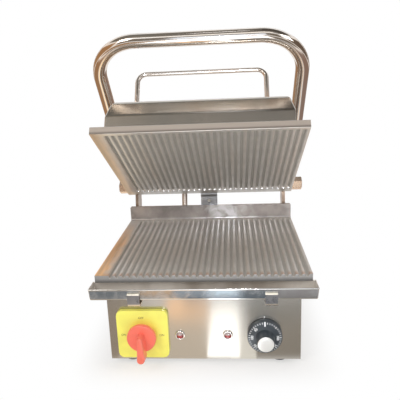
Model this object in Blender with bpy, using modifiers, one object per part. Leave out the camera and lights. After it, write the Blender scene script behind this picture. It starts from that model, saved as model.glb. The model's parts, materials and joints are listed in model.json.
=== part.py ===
"""Countertop sandwich grill, opened: a ribbed lower plate on a steel base, and a ribbed upper head that
floats between the legs of a tubular handle hinged at the back.

Metres, +Z up, the front faces -Y, and the origin is the bottom centre of the whole grill.
Three empties carry the model: base_datum at the front top edge of the lower plate, arm_axis on the hinge
line at the back, and head_axis on the pivot bolts of the floating head.
"""
import math

import bmesh
import bpy
from mathutils import Matrix, Vector

mm = 0.001

# General
sheet = 1.2 * mm
seat_gap = 0.3 * mm
weld_distance = 0.01 * mm
cut_overrun = 3.0 * mm
smooth_angle = 35.0
mitre_limit = 0.5
bolt_crown_share = 0.7
bolt_shoulder_share = 0.5

# Base casing
casing_width = 242.0 * mm
panel_setback = -4.0 * mm
rear_wall_gap = 17.0 * mm
casing_height = 103.7 * mm
foot_height = 8.0 * mm
foot_radius = 11.0 * mm
foot_top_radius = 9.0 * mm
foot_inset_x = 25.0 * mm
foot_inset_y = 19.0 * mm
shelf_y = 10.0 * mm
vent_count = 9
vent_width = 3.0 * mm
vent_height = 26.0 * mm
vent_pitch = 11.0 * mm
vent_drop = 46.0 * mm
floor_vent_length = 60.0 * mm
deck_depth = 30.0 * mm
deck_flange = 12.0 * mm

# Ribbed plates
plate_overhang = 14.0 * mm
plate_depth = 240.0 * mm
plate_thickness = 10.0 * mm
plate_edge_round = 1.0 * mm
rib_count = 30
rib_tip = 2.6 * mm
rib_valley = 2.2 * mm
rib_chamfer = 0.6 * mm
rib_height = 3.4 * mm
rib_left_margin = 12.0 * mm
rib_right_margin = 6.0 * mm
lower_rear_margin = 5.0 * mm
upper_front_margin = 6.0 * mm
upper_rear_margin = 15.0 * mm
splash_gap = 1.0 * mm
splash_thickness = 4.0 * mm
splash_height = 24.0 * mm
splash_corner = 2.0 * mm
recess_rim = 18.0 * mm
recess_depth = 3.0 * mm

# Heating elements and their shields
element_radius = 3.5 * mm
element_runs = 6
element_side_gap = 27.0 * mm
element_front = 40.0 * mm
element_tail = 18.0 * mm
shield_side_gap = 14.0 * mm
shield_front = 24.0 * mm
shield_depth = 12.0 * mm
shield_hole_radius = 5.0 * mm

# Drip tray and its clips
tray_overhang = 5.5 * mm
tray_front = -16.2 * mm
tray_rear = 9.4 * mm
tray_top = -12.0 * mm
tray_height = 14.3 * mm
tray_lean = 1.2 * mm
clip_from_side = 37.0 * mm
clip_width = 15.0 * mm
clip_strap = 1.5 * mm
clip_tail = 6.0 * mm
clip_drop = 4.9 * mm
clip_lip_drop = 5.2 * mm

# Controls on the front panel
switch_from_side = 44.0 * mm
switch_below_middle = 5.7 * mm
switch_plate_size = 65.0 * mm
switch_plate_thickness = 6.0 * mm
switch_plate_corner = 7.0 * mm
switch_stem_radius = 5.0 * mm
switch_hole_radius = 5.3 * mm
switch_neck_radius = 13.0 * mm
switch_neck_height = 6.5 * mm
switch_disc_radius = 18.3 * mm
switch_disc_height = 12.0 * mm
switch_grip_height = 26.0 * mm
switch_grip_width = 11.4 * mm
switch_grip_top = 11.0 * mm
switch_grip_bottom = 28.3 * mm
switch_grip_taper_share = 0.6
switch_body_size = 48.0 * mm
switch_body_depth = 46.0 * mm
switch_stem_depth = 14.0 * mm
lamp_from_switch = 46.5 * mm
lamp_from_dial = 46.0 * mm
lamp_below_middle = 9.8 * mm
lamp_radius = 6.2 * mm
lamp_bezel_height = 2.4 * mm
lamp_hole_radius = 4.8 * mm
lamp_lens_radius = 4.0 * mm
lamp_lens_height = 4.2 * mm
lamp_dome_share = 0.5
lamp_body_length = 24.0 * mm
dial_from_side = 45.0 * mm
dial_below_middle = 8.7 * mm
dial_radius = 21.5 * mm
dial_skirt_edge = 8.0 * mm
dial_skirt_height = 10.0 * mm
dial_grip_radius = 11.6 * mm
dial_grip_top_radius = 10.6 * mm
dial_grip_height = 26.0 * mm
dial_shaft_radius = 3.0 * mm
dial_bore_radius = 3.3 * mm
dial_bore_depth = 14.0 * mm
dial_shaft_depth = 10.0 * mm
dial_cap_radius = 10.0 * mm
dial_cap_height = 2.2 * mm
dial_cap_dome = 0.8 * mm
dial_cap_dome_share = 0.75
thermostat_size = 38.0 * mm
thermostat_depth = 30.0 * mm

# Hinge at the back
hinge_behind_wall = 3.0 * mm
hinge_z = 53.0 * mm
bracket_thickness = 5.0 * mm
bracket_radius = 13.0 * mm
bracket_foot_width = 24.0 * mm
bracket_foot_drop = 60.0 * mm
bracket_bolt_spacing = 30.0 * mm
bracket_bolt_rise = 14.0 * mm
bracket_bolt_radius = 3.0 * mm
bracket_bolt_head = 5.5 * mm
bracket_bolt_head_height = 3.4 * mm
bracket_bolt_length = 12.0 * mm
hinge_bolt_radius = 6.0 * mm
hinge_bolt_head = 10.4 * mm
hinge_bolt_head_height = 7.0 * mm
hinge_bore_radius = 6.3 * mm
hinge_spacer_radius = 9.5 * mm
cap_nut_radius = 11.0 * mm
cap_nut_flats = 19.0 * mm
cap_nut_hex = 8.0 * mm
cap_nut_length = 17.6 * mm
cap_nut_face_radius = 9.0 * mm
cap_nut_bevel = 1.6 * mm

# Carrying handle
arm_angle = math.radians(51.0)
tube_radius = 9.0 * mm
lug_gap = 5.0 * mm
handle_ahead = 30.0 * mm
handle_bend = 56.0 * mm
bend_steps = 7
lug_length = 30.0 * mm
lug_thickness = 6.0 * mm
lug_arc = 140.0
pivot_bolt_radius = 4.0 * mm
pivot_bore_radius = 4.3 * mm
pivot_head_radius = 7.5 * mm
pivot_head_height = 5.2 * mm
pivot_nut_radius = 7.5 * mm
pivot_nut_height = 3.6 * mm

# Floating head
head_angle = math.radians(32.0)
pivot_from_rear = 80.0 * mm
pivot_height = 55.0 * mm
head_setback = 14.0 * mm
head_band = 22.0 * mm
head_height = 57.0 * mm
head_taper = 9.0 * mm
head_corner = 3.0 * mm
ear_thickness = 3.0 * mm
ear_radius = 10.0 * mm
ear_foot_width = 44.0 * mm
bail_radius = 3.2 * mm
bail_from_side = 32.0 * mm
bail_height = 60.0 * mm
bail_bend = 13.0 * mm
bail_from_front = 58.0 * mm
bail_root = 5.0 * mm
bail_hole_radius = 3.6 * mm

# Stop bracket and wiring hose in the gap behind the plates
stop_left = -14.0 * mm
stop_right = 13.5 * mm
stop_thickness = 2.5 * mm
stop_clearance = 0.5 * mm
stop_above_corner = 6.0 * mm
stop_joggle_drop = 12.0 * mm
stop_joggle_height = 4.0 * mm
stop_bolt_drop = 7.0 * mm
stop_bolt_radius = 3.0 * mm
stop_bolt_head = 5.0 * mm
stop_bolt_head_height = 2.6 * mm
hose_x = -43.0 * mm
hose_radius = 4.5 * mm
hose_behind_splash = 8.2 * mm
hose_gland_radius = 7.0 * mm
hose_gland_bore = 4.8 * mm
hose_gland_height = 8.0 * mm
hose_gland_hub = 5.6 * mm
hose_entry_height = 40.0 * mm
hose_inside = 6.0 * mm
hose_straight = 1.5 * mm
hose_steps = 16
hose_split_share = 0.52
hose_bulge_share = 0.5
mains_gland_from_side = 51.0 * mm
mains_gland_above_floor = 28.0 * mm
mains_gland_length = 22.0 * mm
mains_gland_nut = 6.0 * mm
mains_gland_radius = 10.0 * mm
mains_gland_tip = 6.5 * mm
mains_bore_radius = 4.2 * mm
mains_hole_radius = 7.0 * mm
terminal_length = 52.0 * mm
terminal_width = 22.0 * mm
terminal_height = 18.0 * mm
terminal_screw_radius = 2.6 * mm
terminal_ways = 4

# Places worked out from the sizes above
plate_width = casing_width + 2 * plate_overhang
rib_pitch = (plate_width - rib_left_margin - rib_right_margin) / rib_count
lower_rib_end = plate_depth - lower_rear_margin
splash_front = plate_depth + splash_gap
splash_rear = splash_front + splash_thickness
rear_wall_y = splash_rear + rear_wall_gap
deck_front_y = rear_wall_y - deck_depth
shield_width = casing_width - 2 * shield_side_gap
shield_length = plate_depth - 2 * shield_front
element_run_pitch = (shield_width - 2 * element_side_gap) / (element_runs - 1)
element_length = plate_depth - 2 * element_front
tray_width = plate_width + 2 * tray_overhang
clip_x = casing_width / 2 - clip_from_side
switch_x = switch_from_side - casing_width / 2
dial_x = casing_width / 2 - dial_from_side
lamp_xs = {"left": switch_x + lamp_from_switch, "right": dial_x - lamp_from_dial}
hinge_y = rear_wall_y + hinge_behind_wall
hose_y = splash_rear + hose_behind_splash
mains_gland_x = casing_width / 2 - mains_gland_from_side
plate_top = foot_height + casing_height + seat_gap + plate_thickness
front_most = panel_setback - switch_plate_thickness - switch_grip_height
rear_most = rear_wall_y + mains_gland_length
front_edge_y = -(front_most + rear_most) / 2
casing_top = -plate_thickness - seat_gap
casing_bottom = casing_top - casing_height
shelf_top = tray_top - tray_height - seat_gap
clip_root = shelf_top - sheet - seat_gap
clip_top = clip_root - clip_drop
panel_middle = (shelf_top + casing_bottom) / 2
switch_z = panel_middle - switch_below_middle
lamp_z = panel_middle - lamp_below_middle
dial_z = panel_middle - dial_below_middle
mains_gland_z = casing_bottom + mains_gland_above_floor
side_front_y = panel_setback + sheet + seat_gap
inner_half = casing_width / 2 - sheet
bracket_inner = casing_width / 2 + seat_gap
bracket_outer = bracket_inner + bracket_thickness
lug_inner = bracket_outer + lug_gap
lug_outer = lug_inner + lug_thickness
leg_x = (lug_inner + lug_outer) / 2
handle_reach = hinge_y + handle_ahead
head_width = casing_width
bail_width = head_width - 2 * bail_from_side
bail_from_rear = plate_depth - bail_from_front
ear_inner = head_width / 2 + seat_gap
ear_outer = ear_inner + ear_thickness
pivot_reach = hinge_y - plate_depth + pivot_from_rear
pivot_y = hinge_y - pivot_reach * math.cos(arm_angle)
pivot_z = hinge_z + pivot_reach * math.sin(arm_angle)
edge_to_pivot = Vector((0, pivot_from_rear, plate_thickness - pivot_height))
head_edge = Vector((0, pivot_y, pivot_z)) + Matrix.Rotation(-head_angle, 3, "X") @ edge_to_pivot
stop_top = head_edge.z + stop_above_corner
stop_joggle_high = head_edge.z - stop_joggle_drop
stop_joggle_low = stop_joggle_high - stop_joggle_height
stop_bolt_z = stop_joggle_low - stop_bolt_drop
stop_joggle = splash_rear + seat_gap - head_edge.y - stop_clearance


def clear_scene():
    for thing in list(bpy.data.objects):
        bpy.data.objects.remove(thing)


def new_collection(name):
    collection = bpy.data.collections.new(name)
    bpy.context.scene.collection.children.link(collection)
    return collection


def finish(name, colour, roughness, metallic, alpha=1.0):
    """A Principled material with the colour of the real piece."""
    material = bpy.data.materials.new(name)
    material.use_nodes = True
    shader = material.node_tree.nodes["Principled BSDF"]
    shader.inputs["Base Color"].default_value = (*colour, 1.0)
    shader.inputs["Roughness"].default_value = roughness
    shader.inputs["Metallic"].default_value = metallic
    shader.inputs["Alpha"].default_value = alpha
    return material


def datum(name, place, turn=0.0, parent=None):
    """An empty that carries pieces: place is its origin, turn its rotation about X."""
    empty = bpy.data.objects.new(name, None)
    empty.location = place
    empty.rotation_euler = (turn, 0.0, 0.0)
    empty.parent = parent
    bpy.context.scene.collection.objects.link(empty)
    return empty


def put(name, mesh, material, parent, place=(0, 0, 0), smooth=False):
    """One sub-part as an object in the grill's collection."""
    piece = bpy.data.objects.new(name, mesh)
    piece.location = place
    piece.parent = parent
    grill.objects.link(piece)
    if material.name not in mesh.materials:
        mesh.materials.append(material)
    if smooth:
        mesh.shade_smooth()
        mesh.set_sharp_from_angle(angle=math.radians(smooth_angle))
    return piece


def mesh_of(name, bm):
    """The mesh of a bmesh whose faces are made to point out."""
    bmesh.ops.recalc_face_normals(bm, faces=bm.faces)
    mesh = bpy.data.meshes.new(name)
    bm.to_mesh(mesh)
    bm.free()
    return mesh


def block(name, low, high, soften=0.0):
    """A box between two corners, with its edges rounded by soften."""
    bm = bmesh.new()
    bmesh.ops.create_cube(bm, size=1.0)
    low, high = Vector(low), Vector(high)
    size = high - low
    bmesh.ops.scale(bm, vec=size, verts=bm.verts)
    bmesh.ops.translate(bm, vec=(low + high) / 2, verts=bm.verts)
    if soften:
        bmesh.ops.bevel(bm, geom=bm.edges[:], offset=soften, segments=2, profile=0.5, affect="EDGES")
    return mesh_of(name, bm)


def drum(name, radius, low, high, axis="Z", segments=24, centre=(0, 0)):
    """A cylinder along an axis from low to high; centre is its place across the axis."""
    bm = bmesh.new()
    bmesh.ops.create_cone(bm, cap_ends=True, segments=segments, radius1=radius, radius2=radius, depth=high - low)
    middle = (low + high) / 2
    if axis == "X":
        bmesh.ops.rotate(bm, matrix=Matrix.Rotation(math.pi / 2, 3, "Y"), verts=bm.verts)
        shift = (middle, centre[0], centre[1])
    elif axis == "Y":
        bmesh.ops.rotate(bm, matrix=Matrix.Rotation(math.pi / 2, 3, "X"), verts=bm.verts)
        shift = (centre[0], middle, centre[1])
    else:
        shift = (centre[0], centre[1], middle)
    bmesh.ops.translate(bm, vec=shift, verts=bm.verts)
    return mesh_of(name, bm)


def turned(name, profile, steps=24, axis="Z", place=0.0, flip=False):
    """A turned piece. The profile lists (radius, height) from top to bottom and starts and ends on the axis,
    or is a closed ring profile. The Screw modifier turns it, and the result is kept as a mesh."""
    bm = bmesh.new()
    verts = [bm.verts.new((radius, 0, height)) for radius, height in profile]
    for first, second in zip(verts, verts[1:]):
        bm.edges.new((first, second))
    ring = all(radius > 0 for radius, height in profile)
    if ring:
        bm.edges.new((verts[-1], verts[0]))
    mesh = bpy.data.meshes.new(name)
    bm.to_mesh(mesh)
    bm.free()
    guide = bpy.data.objects.new(name + "_profile", mesh)
    bpy.context.scene.collection.objects.link(guide)
    screw = guide.modifiers.new("turn", "SCREW")
    screw.steps = steps
    screw.render_steps = steps
    screw.use_merge_vertices = True
    screw.merge_threshold = weld_distance
    solid = baked(name, guide)
    matrix = Matrix.Identity(4)
    if flip:
        matrix = Matrix.Rotation(math.pi, 4, "X")
    if axis == "X":
        matrix = Matrix.Rotation(math.pi / 2, 4, "Y") @ matrix
        matrix = Matrix.Translation((place, 0, 0)) @ matrix
    solid.transform(matrix)
    return solid


def baked(name, guide):
    """The evaluated mesh of a guide object, welded and with its faces out; the guide is removed."""
    graph = bpy.context.evaluated_depsgraph_get()
    mesh = bpy.data.meshes.new_from_object(guide.evaluated_get(graph))
    bpy.data.objects.remove(guide)
    bm = bmesh.new()
    bm.from_mesh(mesh)
    bmesh.ops.remove_doubles(bm, verts=bm.verts, dist=weld_distance)
    bpy.data.meshes.remove(mesh)
    return mesh_of(name, bm)


def plate_of(name, outline, low, high, across="Z"):
    """A flat outline as a filled 2D curve, extruded from low to high across its own plane.
    Across X the outline is in (y, z), across Y in (x, z), across Z in (x, y)."""
    curve = bpy.data.curves.new(name, "CURVE")
    curve.dimensions = "2D"
    curve.fill_mode = "BOTH"
    curve.extrude = (high - low) / 2
    spline = curve.splines.new("POLY")
    spline.points.add(len(outline) - 1)
    for point, (first, second) in zip(spline.points, outline):
        point.co = (first, second, 0, 1)
    spline.use_cyclic_u = True
    guide = bpy.data.objects.new(name + "_outline", curve)
    bpy.context.scene.collection.objects.link(guide)
    mesh = baked(name, guide)
    middle = (low + high) / 2
    frames = {
        "X": Matrix(((0, 0, 1, middle), (1, 0, 0, 0), (0, 1, 0, 0), (0, 0, 0, 1))),
        "Y": Matrix(((1, 0, 0, 0), (0, 0, 1, middle), (0, 1, 0, 0), (0, 0, 0, 1))),
        "Z": Matrix.Translation((0, 0, middle)),
    }
    mesh.transform(frames[across])
    bm = bmesh.new()
    bm.from_mesh(mesh)
    return mesh_of(name, bm)


def wire(name, points, radius, resolution=2):
    """A tube along a line of points, with filled caps, as a mesh."""
    curve = bpy.data.curves.new(name, "CURVE")
    curve.dimensions = "3D"
    curve.bevel_depth = radius
    curve.bevel_resolution = resolution
    curve.use_fill_caps = True
    spline = curve.splines.new("POLY")
    spline.points.add(len(points) - 1)
    for point, place in zip(spline.points, points):
        point.co = (*place, 1)
    guide = bpy.data.objects.new(name + "_route", curve)
    bpy.context.scene.collection.objects.link(guide)
    return baked(name, guide)


def thickened(name, bm, thickness):
    """An open surface given its sheet thickness by Solidify, on the side away from its normals."""
    mesh = bpy.data.meshes.new(name)
    bm.to_mesh(mesh)
    bm.free()
    guide = bpy.data.objects.new(name + "_surface", mesh)
    bpy.context.scene.collection.objects.link(guide)
    solidify = guide.modifiers.new("sheet", "SOLIDIFY")
    solidify.thickness = thickness
    solidify.offset = -1.0
    solidify.use_even_offset = True
    return baked(name, guide)


def arc(centre, radius, start, end, steps):
    """Points on an arc between two angles in degrees."""
    points = []
    for step in range(steps + 1):
        angle = math.radians(start + (end - start) * step / steps)
        points.append((centre[0] + radius * math.cos(angle), centre[1] + radius * math.sin(angle)))
    return points


def carve(target, name, mesh, parent, operation="DIFFERENCE", place=(0, 0, 0)):
    """Cuts, joins or trims a piece with a second solid, which stays in the cutters' collection."""
    tool = bpy.data.objects.new(name, mesh)
    tool.location = place
    tool.parent = parent
    tool.hide_render = True
    tool.display_type = "WIRE"
    cutters.objects.link(tool)
    change = target.modifiers.new(name, "BOOLEAN")
    change.operation = operation
    change.solver = "EXACT"
    change.object = tool
    return tool


def rib_comb(name, start, end, side):
    """The cutter of all grooves of a ribbed plate, as one comb; side is 1 for grooves cut from above."""
    flank = (rib_pitch - rib_tip - rib_valley) / 2
    left = -plate_width / 2 + rib_left_margin
    roof = cut_overrun
    outline = [(left + rib_count * rib_pitch - rib_tip, roof), (left, roof), (left, 0)]
    for rib in range(rib_count):
        x = left + rib * rib_pitch
        slope = rib_chamfer / rib_height
        outline.append((x + flank * slope + rib_chamfer * slope, -rib_chamfer))
        outline.append((x + flank, -rib_height))
        outline.append((x + flank + rib_valley, -rib_height))
        outline.append((x + 2 * flank + rib_valley - (flank + rib_chamfer) * slope, -rib_chamfer))
        outline.append((x + 2 * flank + rib_valley, 0))
        if rib < rib_count - 1:
            outline.append((x + rib_pitch, 0))
    outline = [(x, side * z) for x, z in outline]
    return plate_of(name, outline, start, end, across="Y")


def ribbed_plate(name, outline, parent, side, front, rib_start, rib_end):
    """A cast plate: the outline across its depth, the grooves, and the recess for the heating element.
    side is 1 for ribs on top, and front is the place of its front edge."""
    half = plate_width / 2
    casting = plate_of(name, outline, -half, half, across="X")
    bm = bmesh.new()
    bm.from_mesh(casting)
    corners = []
    for edge in bm.edges:
        first, second = edge.verts
        tall = abs(abs(first.co.z) - splash_height) < weld_distance
        if tall and abs(first.co.x - second.co.x) < weld_distance and abs(first.co.z - second.co.z) < weld_distance:
            corners.append(edge)
    if corners:
        bmesh.ops.bevel(bm, geom=corners, offset=splash_corner, segments=1, affect="EDGES")
    piece = put(name, mesh_of(name, bm), cast_iron, parent)
    carve(piece, name + "_grooves", rib_comb(name + "_grooves", rib_start, rib_end, side), parent)
    inner = half - recess_rim
    roof = -side * (plate_thickness - recess_depth)
    under = -side * (plate_thickness + cut_overrun)
    low = (-inner, front + recess_rim, min(roof, under))
    high = (inner, front + plate_depth - recess_rim, max(roof, under))
    carve(piece, name + "_recess", block(name + "_recess", low, high), parent)


def lower_plate():
    """The lower casting stands on the casing's top edge and turns up into the splash wall at the back."""
    outline = [
        (plate_edge_round, 0),
        (0, -plate_edge_round),
        (0, -plate_thickness),
        (splash_rear, -plate_thickness),
        (splash_rear, splash_height),
        (splash_front, splash_height),
        (splash_front, 0),
    ]
    ribbed_plate("lower_plate", outline, base, 1, 0, -cut_overrun, lower_rib_end)


def upper_plate():
    """The upper casting faces down. In the head's frame its ribs point to -Z."""
    front = -plate_depth
    outline = [
        (front, 0),
        (front, plate_thickness - plate_edge_round),
        (front + plate_edge_round, plate_thickness),
        (0, plate_thickness),
        (0, 0),
    ]
    ribbed_plate("upper_plate", outline, plate_frame, -1, front, front + upper_front_margin, -upper_rear_margin)


def element_route(height, tail):
    """A tubular element: straight runs joined by half circles, its two ends bent away from the plate."""
    half = (element_runs - 1) * element_run_pitch / 2
    radius = element_run_pitch / 2
    front = element_front + radius
    back = element_front + element_length - radius
    route = [(-half, back, height + tail), (-half, back, height)]
    for run in range(element_runs):
        x = -half + run * element_run_pitch
        forward = run % 2 == 0
        if run < element_runs - 1:
            y = front if forward else back
            turns = arc((x + radius, y), radius, 180, 360 if forward else 0, 6)
            route += [(px, py, height) for px, py in turns]
    route += [(half, back, height), (half, back, height + tail)]
    return route


def heater(which, parent, place, side):
    """The heating element against the plate and the shield pan behind it. side is -1 below a plate, 1 above."""
    height = side * (plate_thickness - recess_depth + seat_gap + element_radius)
    route = element_route(height, side * element_tail)
    put(which + "_element", wire(which + "_element", route, element_radius, 2), heater_steel, parent, place, True)
    half = shield_width / 2
    top = side * (plate_thickness - recess_depth + seat_gap)
    bottom = top + side * shield_depth
    bm = bmesh.new()
    bmesh.ops.create_cube(bm, size=1.0)
    bmesh.ops.scale(bm, vec=(2 * half, shield_length, shield_depth), verts=bm.verts)
    centre = (0, shield_front + shield_length / 2, (top + bottom) / 2)
    bmesh.ops.translate(bm, vec=centre, verts=bm.verts)
    mouth = [face for face in bm.faces if face.normal.z * side < -0.5]
    bmesh.ops.delete(bm, geom=mouth, context="FACES_ONLY")
    pan = put(which + "_heat_shield", thickened(which + "_heat_shield", bm, sheet), zinc_steel, parent, place)
    ends = (element_runs - 1) * element_run_pitch / 2
    back = element_front + element_length - element_run_pitch / 2
    for hand, x in (("left", -ends), ("right", ends)):
        low, high = sorted((bottom - side * cut_overrun, bottom + side * cut_overrun))
        hole = drum("hole", shield_hole_radius, low, high, segments=16, centre=(x, back))
        carve(pan, which + "_shield_hole_" + hand, hole, parent, place=place)


def base_housing():
    """Side walls and rear wall, folded from one sheet."""
    half = casing_width / 2
    bm = bmesh.new()
    plan = [(half, side_front_y), (half, rear_wall_y), (-half, rear_wall_y), (-half, side_front_y)]
    verts = [bm.verts.new((x, y, casing_bottom)) for x, y in plan]
    edges = [bm.edges.new(pair) for pair in zip(verts, verts[1:])]
    grown = bmesh.ops.extrude_edge_only(bm, edges=edges)
    moved = [item for item in grown["geom"] if isinstance(item, bmesh.types.BMVert)]
    bmesh.ops.translate(bm, vec=(0, 0, casing_height), verts=moved)
    outward(bm)
    casing = put("base_housing", thickened("base_housing", bm, sheet), brushed_steel, base)
    low = (-casing_width, side_front_y - cut_overrun, shelf_top - sheet - seat_gap)
    high = (casing_width, shelf_y + sheet + seat_gap, casing_top + cut_overrun)
    carve(casing, "housing_notch", block("housing_notch", low, high), base)
    for vent in range(vent_count):
        y = rear_wall_y / 2 + (vent - (vent_count - 1) / 2) * vent_pitch
        low = (-casing_width, y - vent_width / 2, casing_top - vent_drop - vent_height)
        high = (casing_width, y + vent_width / 2, casing_top - vent_drop)
        carve(casing, "side_vent_%d" % vent, block("side_vent", low, high), base)
    cable = drum("cable_hole", mains_hole_radius, rear_wall_y - cut_overrun, rear_wall_y + cut_overrun, "Y",
                 centre=(mains_gland_x, mains_gland_z))
    carve(casing, "cable_hole", cable, base)
    for hand, sign in (("left", -1), ("right", 1)):
        for row, z in enumerate(bracket_bolt_heights()):
            low, high = sorted((sign * (inner_half - cut_overrun), sign * (half + cut_overrun)))
            hole = drum("bolt_hole", bracket_bolt_radius + seat_gap, low, high, "X", 16, (bracket_foot_y(), z))
            carve(casing, "housing_bolt_hole_%s_%d" % (hand, row), hole, base)


def outward(bm):
    """Turns the faces of an open casing so that their normals point away from its middle."""
    bm.normal_update()
    middle = sum((vert.co for vert in bm.verts), Vector()) / len(bm.verts)
    for face in bm.faces:
        if face.normal.dot(face.calc_center_median() - middle) < 0:
            face.normal_flip()


def front_panel():
    """The panel's face, the shelf for the drip tray, and the upright behind it, folded from one sheet."""
    half = casing_width / 2
    line = [
        (panel_setback, casing_bottom),
        (panel_setback, shelf_top),
        (shelf_y, shelf_top),
        (shelf_y, casing_top),
    ]
    bm = bmesh.new()
    verts = [bm.verts.new((-half, y, z)) for y, z in line]
    edges = [bm.edges.new(pair) for pair in zip(verts, verts[1:])]
    grown = bmesh.ops.extrude_edge_only(bm, edges=edges)
    moved = [item for item in grown["geom"] if isinstance(item, bmesh.types.BMVert)]
    bmesh.ops.translate(bm, vec=(2 * half, 0, 0), verts=moved)
    bm.normal_update()
    for face in bm.faces:
        if face.normal.z - face.normal.y < 0:
            face.normal_flip()
    panel = put("front_panel", thickened("front_panel", bm, sheet), brushed_steel, base)
    front, back = panel_setback - cut_overrun, panel_setback + sheet + cut_overrun
    holes = [("switch", switch_x, switch_z, switch_stem_radius + sheet), ("dial", dial_x, dial_z, dial_bore_radius)]
    holes += [("lamp_" + hand, x, lamp_z, lamp_hole_radius) for hand, x in lamp_xs.items()]
    for which, x, z, radius in holes:
        carve(panel, "panel_hole_" + which, drum("hole", radius, front, back, "Y", 20, (x, z)), base)
    for hand, sign in (("left", -1), ("right", 1)):
        middle = sign * clip_x
        wide = clip_width / 2 + seat_gap
        low = (middle - wide, front, clip_top - seat_gap - clip_strap)
        high = (middle + wide, back, clip_top + seat_gap)
        carve(panel, "clip_slot_" + hand, block("clip_slot", low, high), base)


def base_plate():
    """Bottom cover between the walls, with slots for cooling air."""
    edge = inner_half - seat_gap
    low = (-edge, side_front_y, casing_bottom)
    high = (edge, rear_wall_y - sheet - seat_gap, casing_bottom + sheet)
    cover = put("base_plate", block("base_plate", low, high), zinc_steel, base)
    for vent in range(vent_count):
        x = (vent - (vent_count - 1) / 2) * vent_pitch
        middle = rear_wall_y / 2
        low = (x - vent_width / 2, middle - floor_vent_length / 2, casing_bottom - cut_overrun)
        high = (x + vent_width / 2, middle + floor_vent_length / 2, casing_bottom + cut_overrun)
        carve(cover, "floor_vent_%d" % vent, block("floor_vent", low, high), base)


def rear_deck():
    """Strip that closes the casing behind the lower plate. It carries the stop bracket and the hose gland."""
    back = rear_wall_y - sheet - seat_gap
    line = [(deck_front_y, casing_top), (back, casing_top), (back, casing_top - deck_flange)]
    bm = bmesh.new()
    edge = inner_half - seat_gap
    verts = [bm.verts.new((-edge, y, z)) for y, z in line]
    edges = [bm.edges.new(pair) for pair in zip(verts, verts[1:])]
    grown = bmesh.ops.extrude_edge_only(bm, edges=edges)
    moved = [item for item in grown["geom"] if isinstance(item, bmesh.types.BMVert)]
    bmesh.ops.translate(bm, vec=(2 * edge, 0, 0), verts=moved)
    bm.normal_update()
    for face in bm.faces:
        if face.normal.z + face.normal.y < 0:
            face.normal_flip()
    deck = put("rear_deck", thickened("rear_deck", bm, sheet), brushed_steel, base)
    hole = drum("hose_hole", hose_gland_hub + seat_gap, casing_top - cut_overrun, casing_top + cut_overrun,
                centre=(hose_x, hose_y))
    carve(deck, "hose_hole", hole, base)


def feet():
    profile = [
        (0, -seat_gap),
        (foot_top_radius, -seat_gap),
        (foot_radius, -foot_height + sheet),
        (foot_radius - sheet, -foot_height),
        (0, -foot_height),
    ]
    shape = turned("foot", profile, 20)
    rows = {"front": side_front_y + foot_inset_y, "rear": rear_wall_y - foot_inset_y}
    for row, y in rows.items():
        for hand, sign in (("left", -1), ("right", 1)):
            x = sign * (casing_width / 2 - foot_inset_x)
            put("foot_%s_%s" % (row, hand), shape, rubber, base, (x, y, casing_bottom), True)


def drip_tray():
    """Open channel whose front leans out a little, with closed ends."""
    bottom = tray_top - tray_height
    half = tray_width / 2
    bm = bmesh.new()
    bmesh.ops.create_cube(bm, size=1.0)
    bmesh.ops.scale(bm, vec=(2 * half, tray_rear - tray_front, tray_height), verts=bm.verts)
    bmesh.ops.translate(bm, vec=(0, (tray_rear + tray_front) / 2, tray_top - tray_height / 2), verts=bm.verts)
    for vert in bm.verts:
        if vert.co.z < tray_top - tray_height / 2:
            vert.co.x -= math.copysign(tray_lean, vert.co.x)
            if vert.co.y < (tray_front + tray_rear) / 2:
                vert.co.y += tray_lean
    mouth = [face for face in bm.faces if face.normal.z > 0.5]
    bmesh.ops.delete(bm, geom=mouth, context="FACES_ONLY")
    tray = thickened("drip_tray", bm, sheet)
    axis = (0, (tray_front + tray_rear) / 2, bottom)
    tray.transform(Matrix.Translation([-value for value in axis]))
    put("drip_tray", tray, polished_steel, base, axis)


def tray_clips():
    """Bent straps that hang from the shelf, come out through the panel, pass under the tray and rise
    in front of it."""
    middle = clip_top - clip_strap / 2
    upright = tray_front - 2 * seat_gap - clip_strap / 2
    bend = 2 * clip_strap
    turn = [(y, z) for y, z in arc((upright + bend, middle + bend), bend, 270, 180, 3)]
    line = [(clip_tail, clip_root), (clip_tail, middle)] + turn + [(upright, tray_top - clip_lip_drop)]
    outer, inner = offset_line(line, clip_strap / 2), offset_line(line, -clip_strap / 2)
    outline = outer + inner[::-1]
    for hand, sign in (("left", -1), ("right", 1)):
        middle_x = sign * clip_x
        strap = plate_of("tray_clip_" + hand, outline, middle_x - clip_width / 2, middle_x + clip_width / 2, "X")
        put("tray_clip_" + hand, strap, polished_steel, base)


def offset_line(line, distance):
    """The line moved sideways by a distance, with mitred corners."""
    moved = []
    for index, point in enumerate(line):
        before = Vector(line[max(index - 1, 0)])
        after = Vector(line[min(index + 1, len(line) - 1)])
        here = Vector(point)
        first = (here - before).normalized() if index else (after - here).normalized()
        second = (after - here).normalized() if index < len(line) - 1 else first
        mean = (first + second).normalized()
        normal = Vector((-mean.y, mean.x))
        scale = 1 / max(mean.dot(first), mitre_limit)
        moved.append(tuple(here + normal * distance * scale))
    return moved


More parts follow.
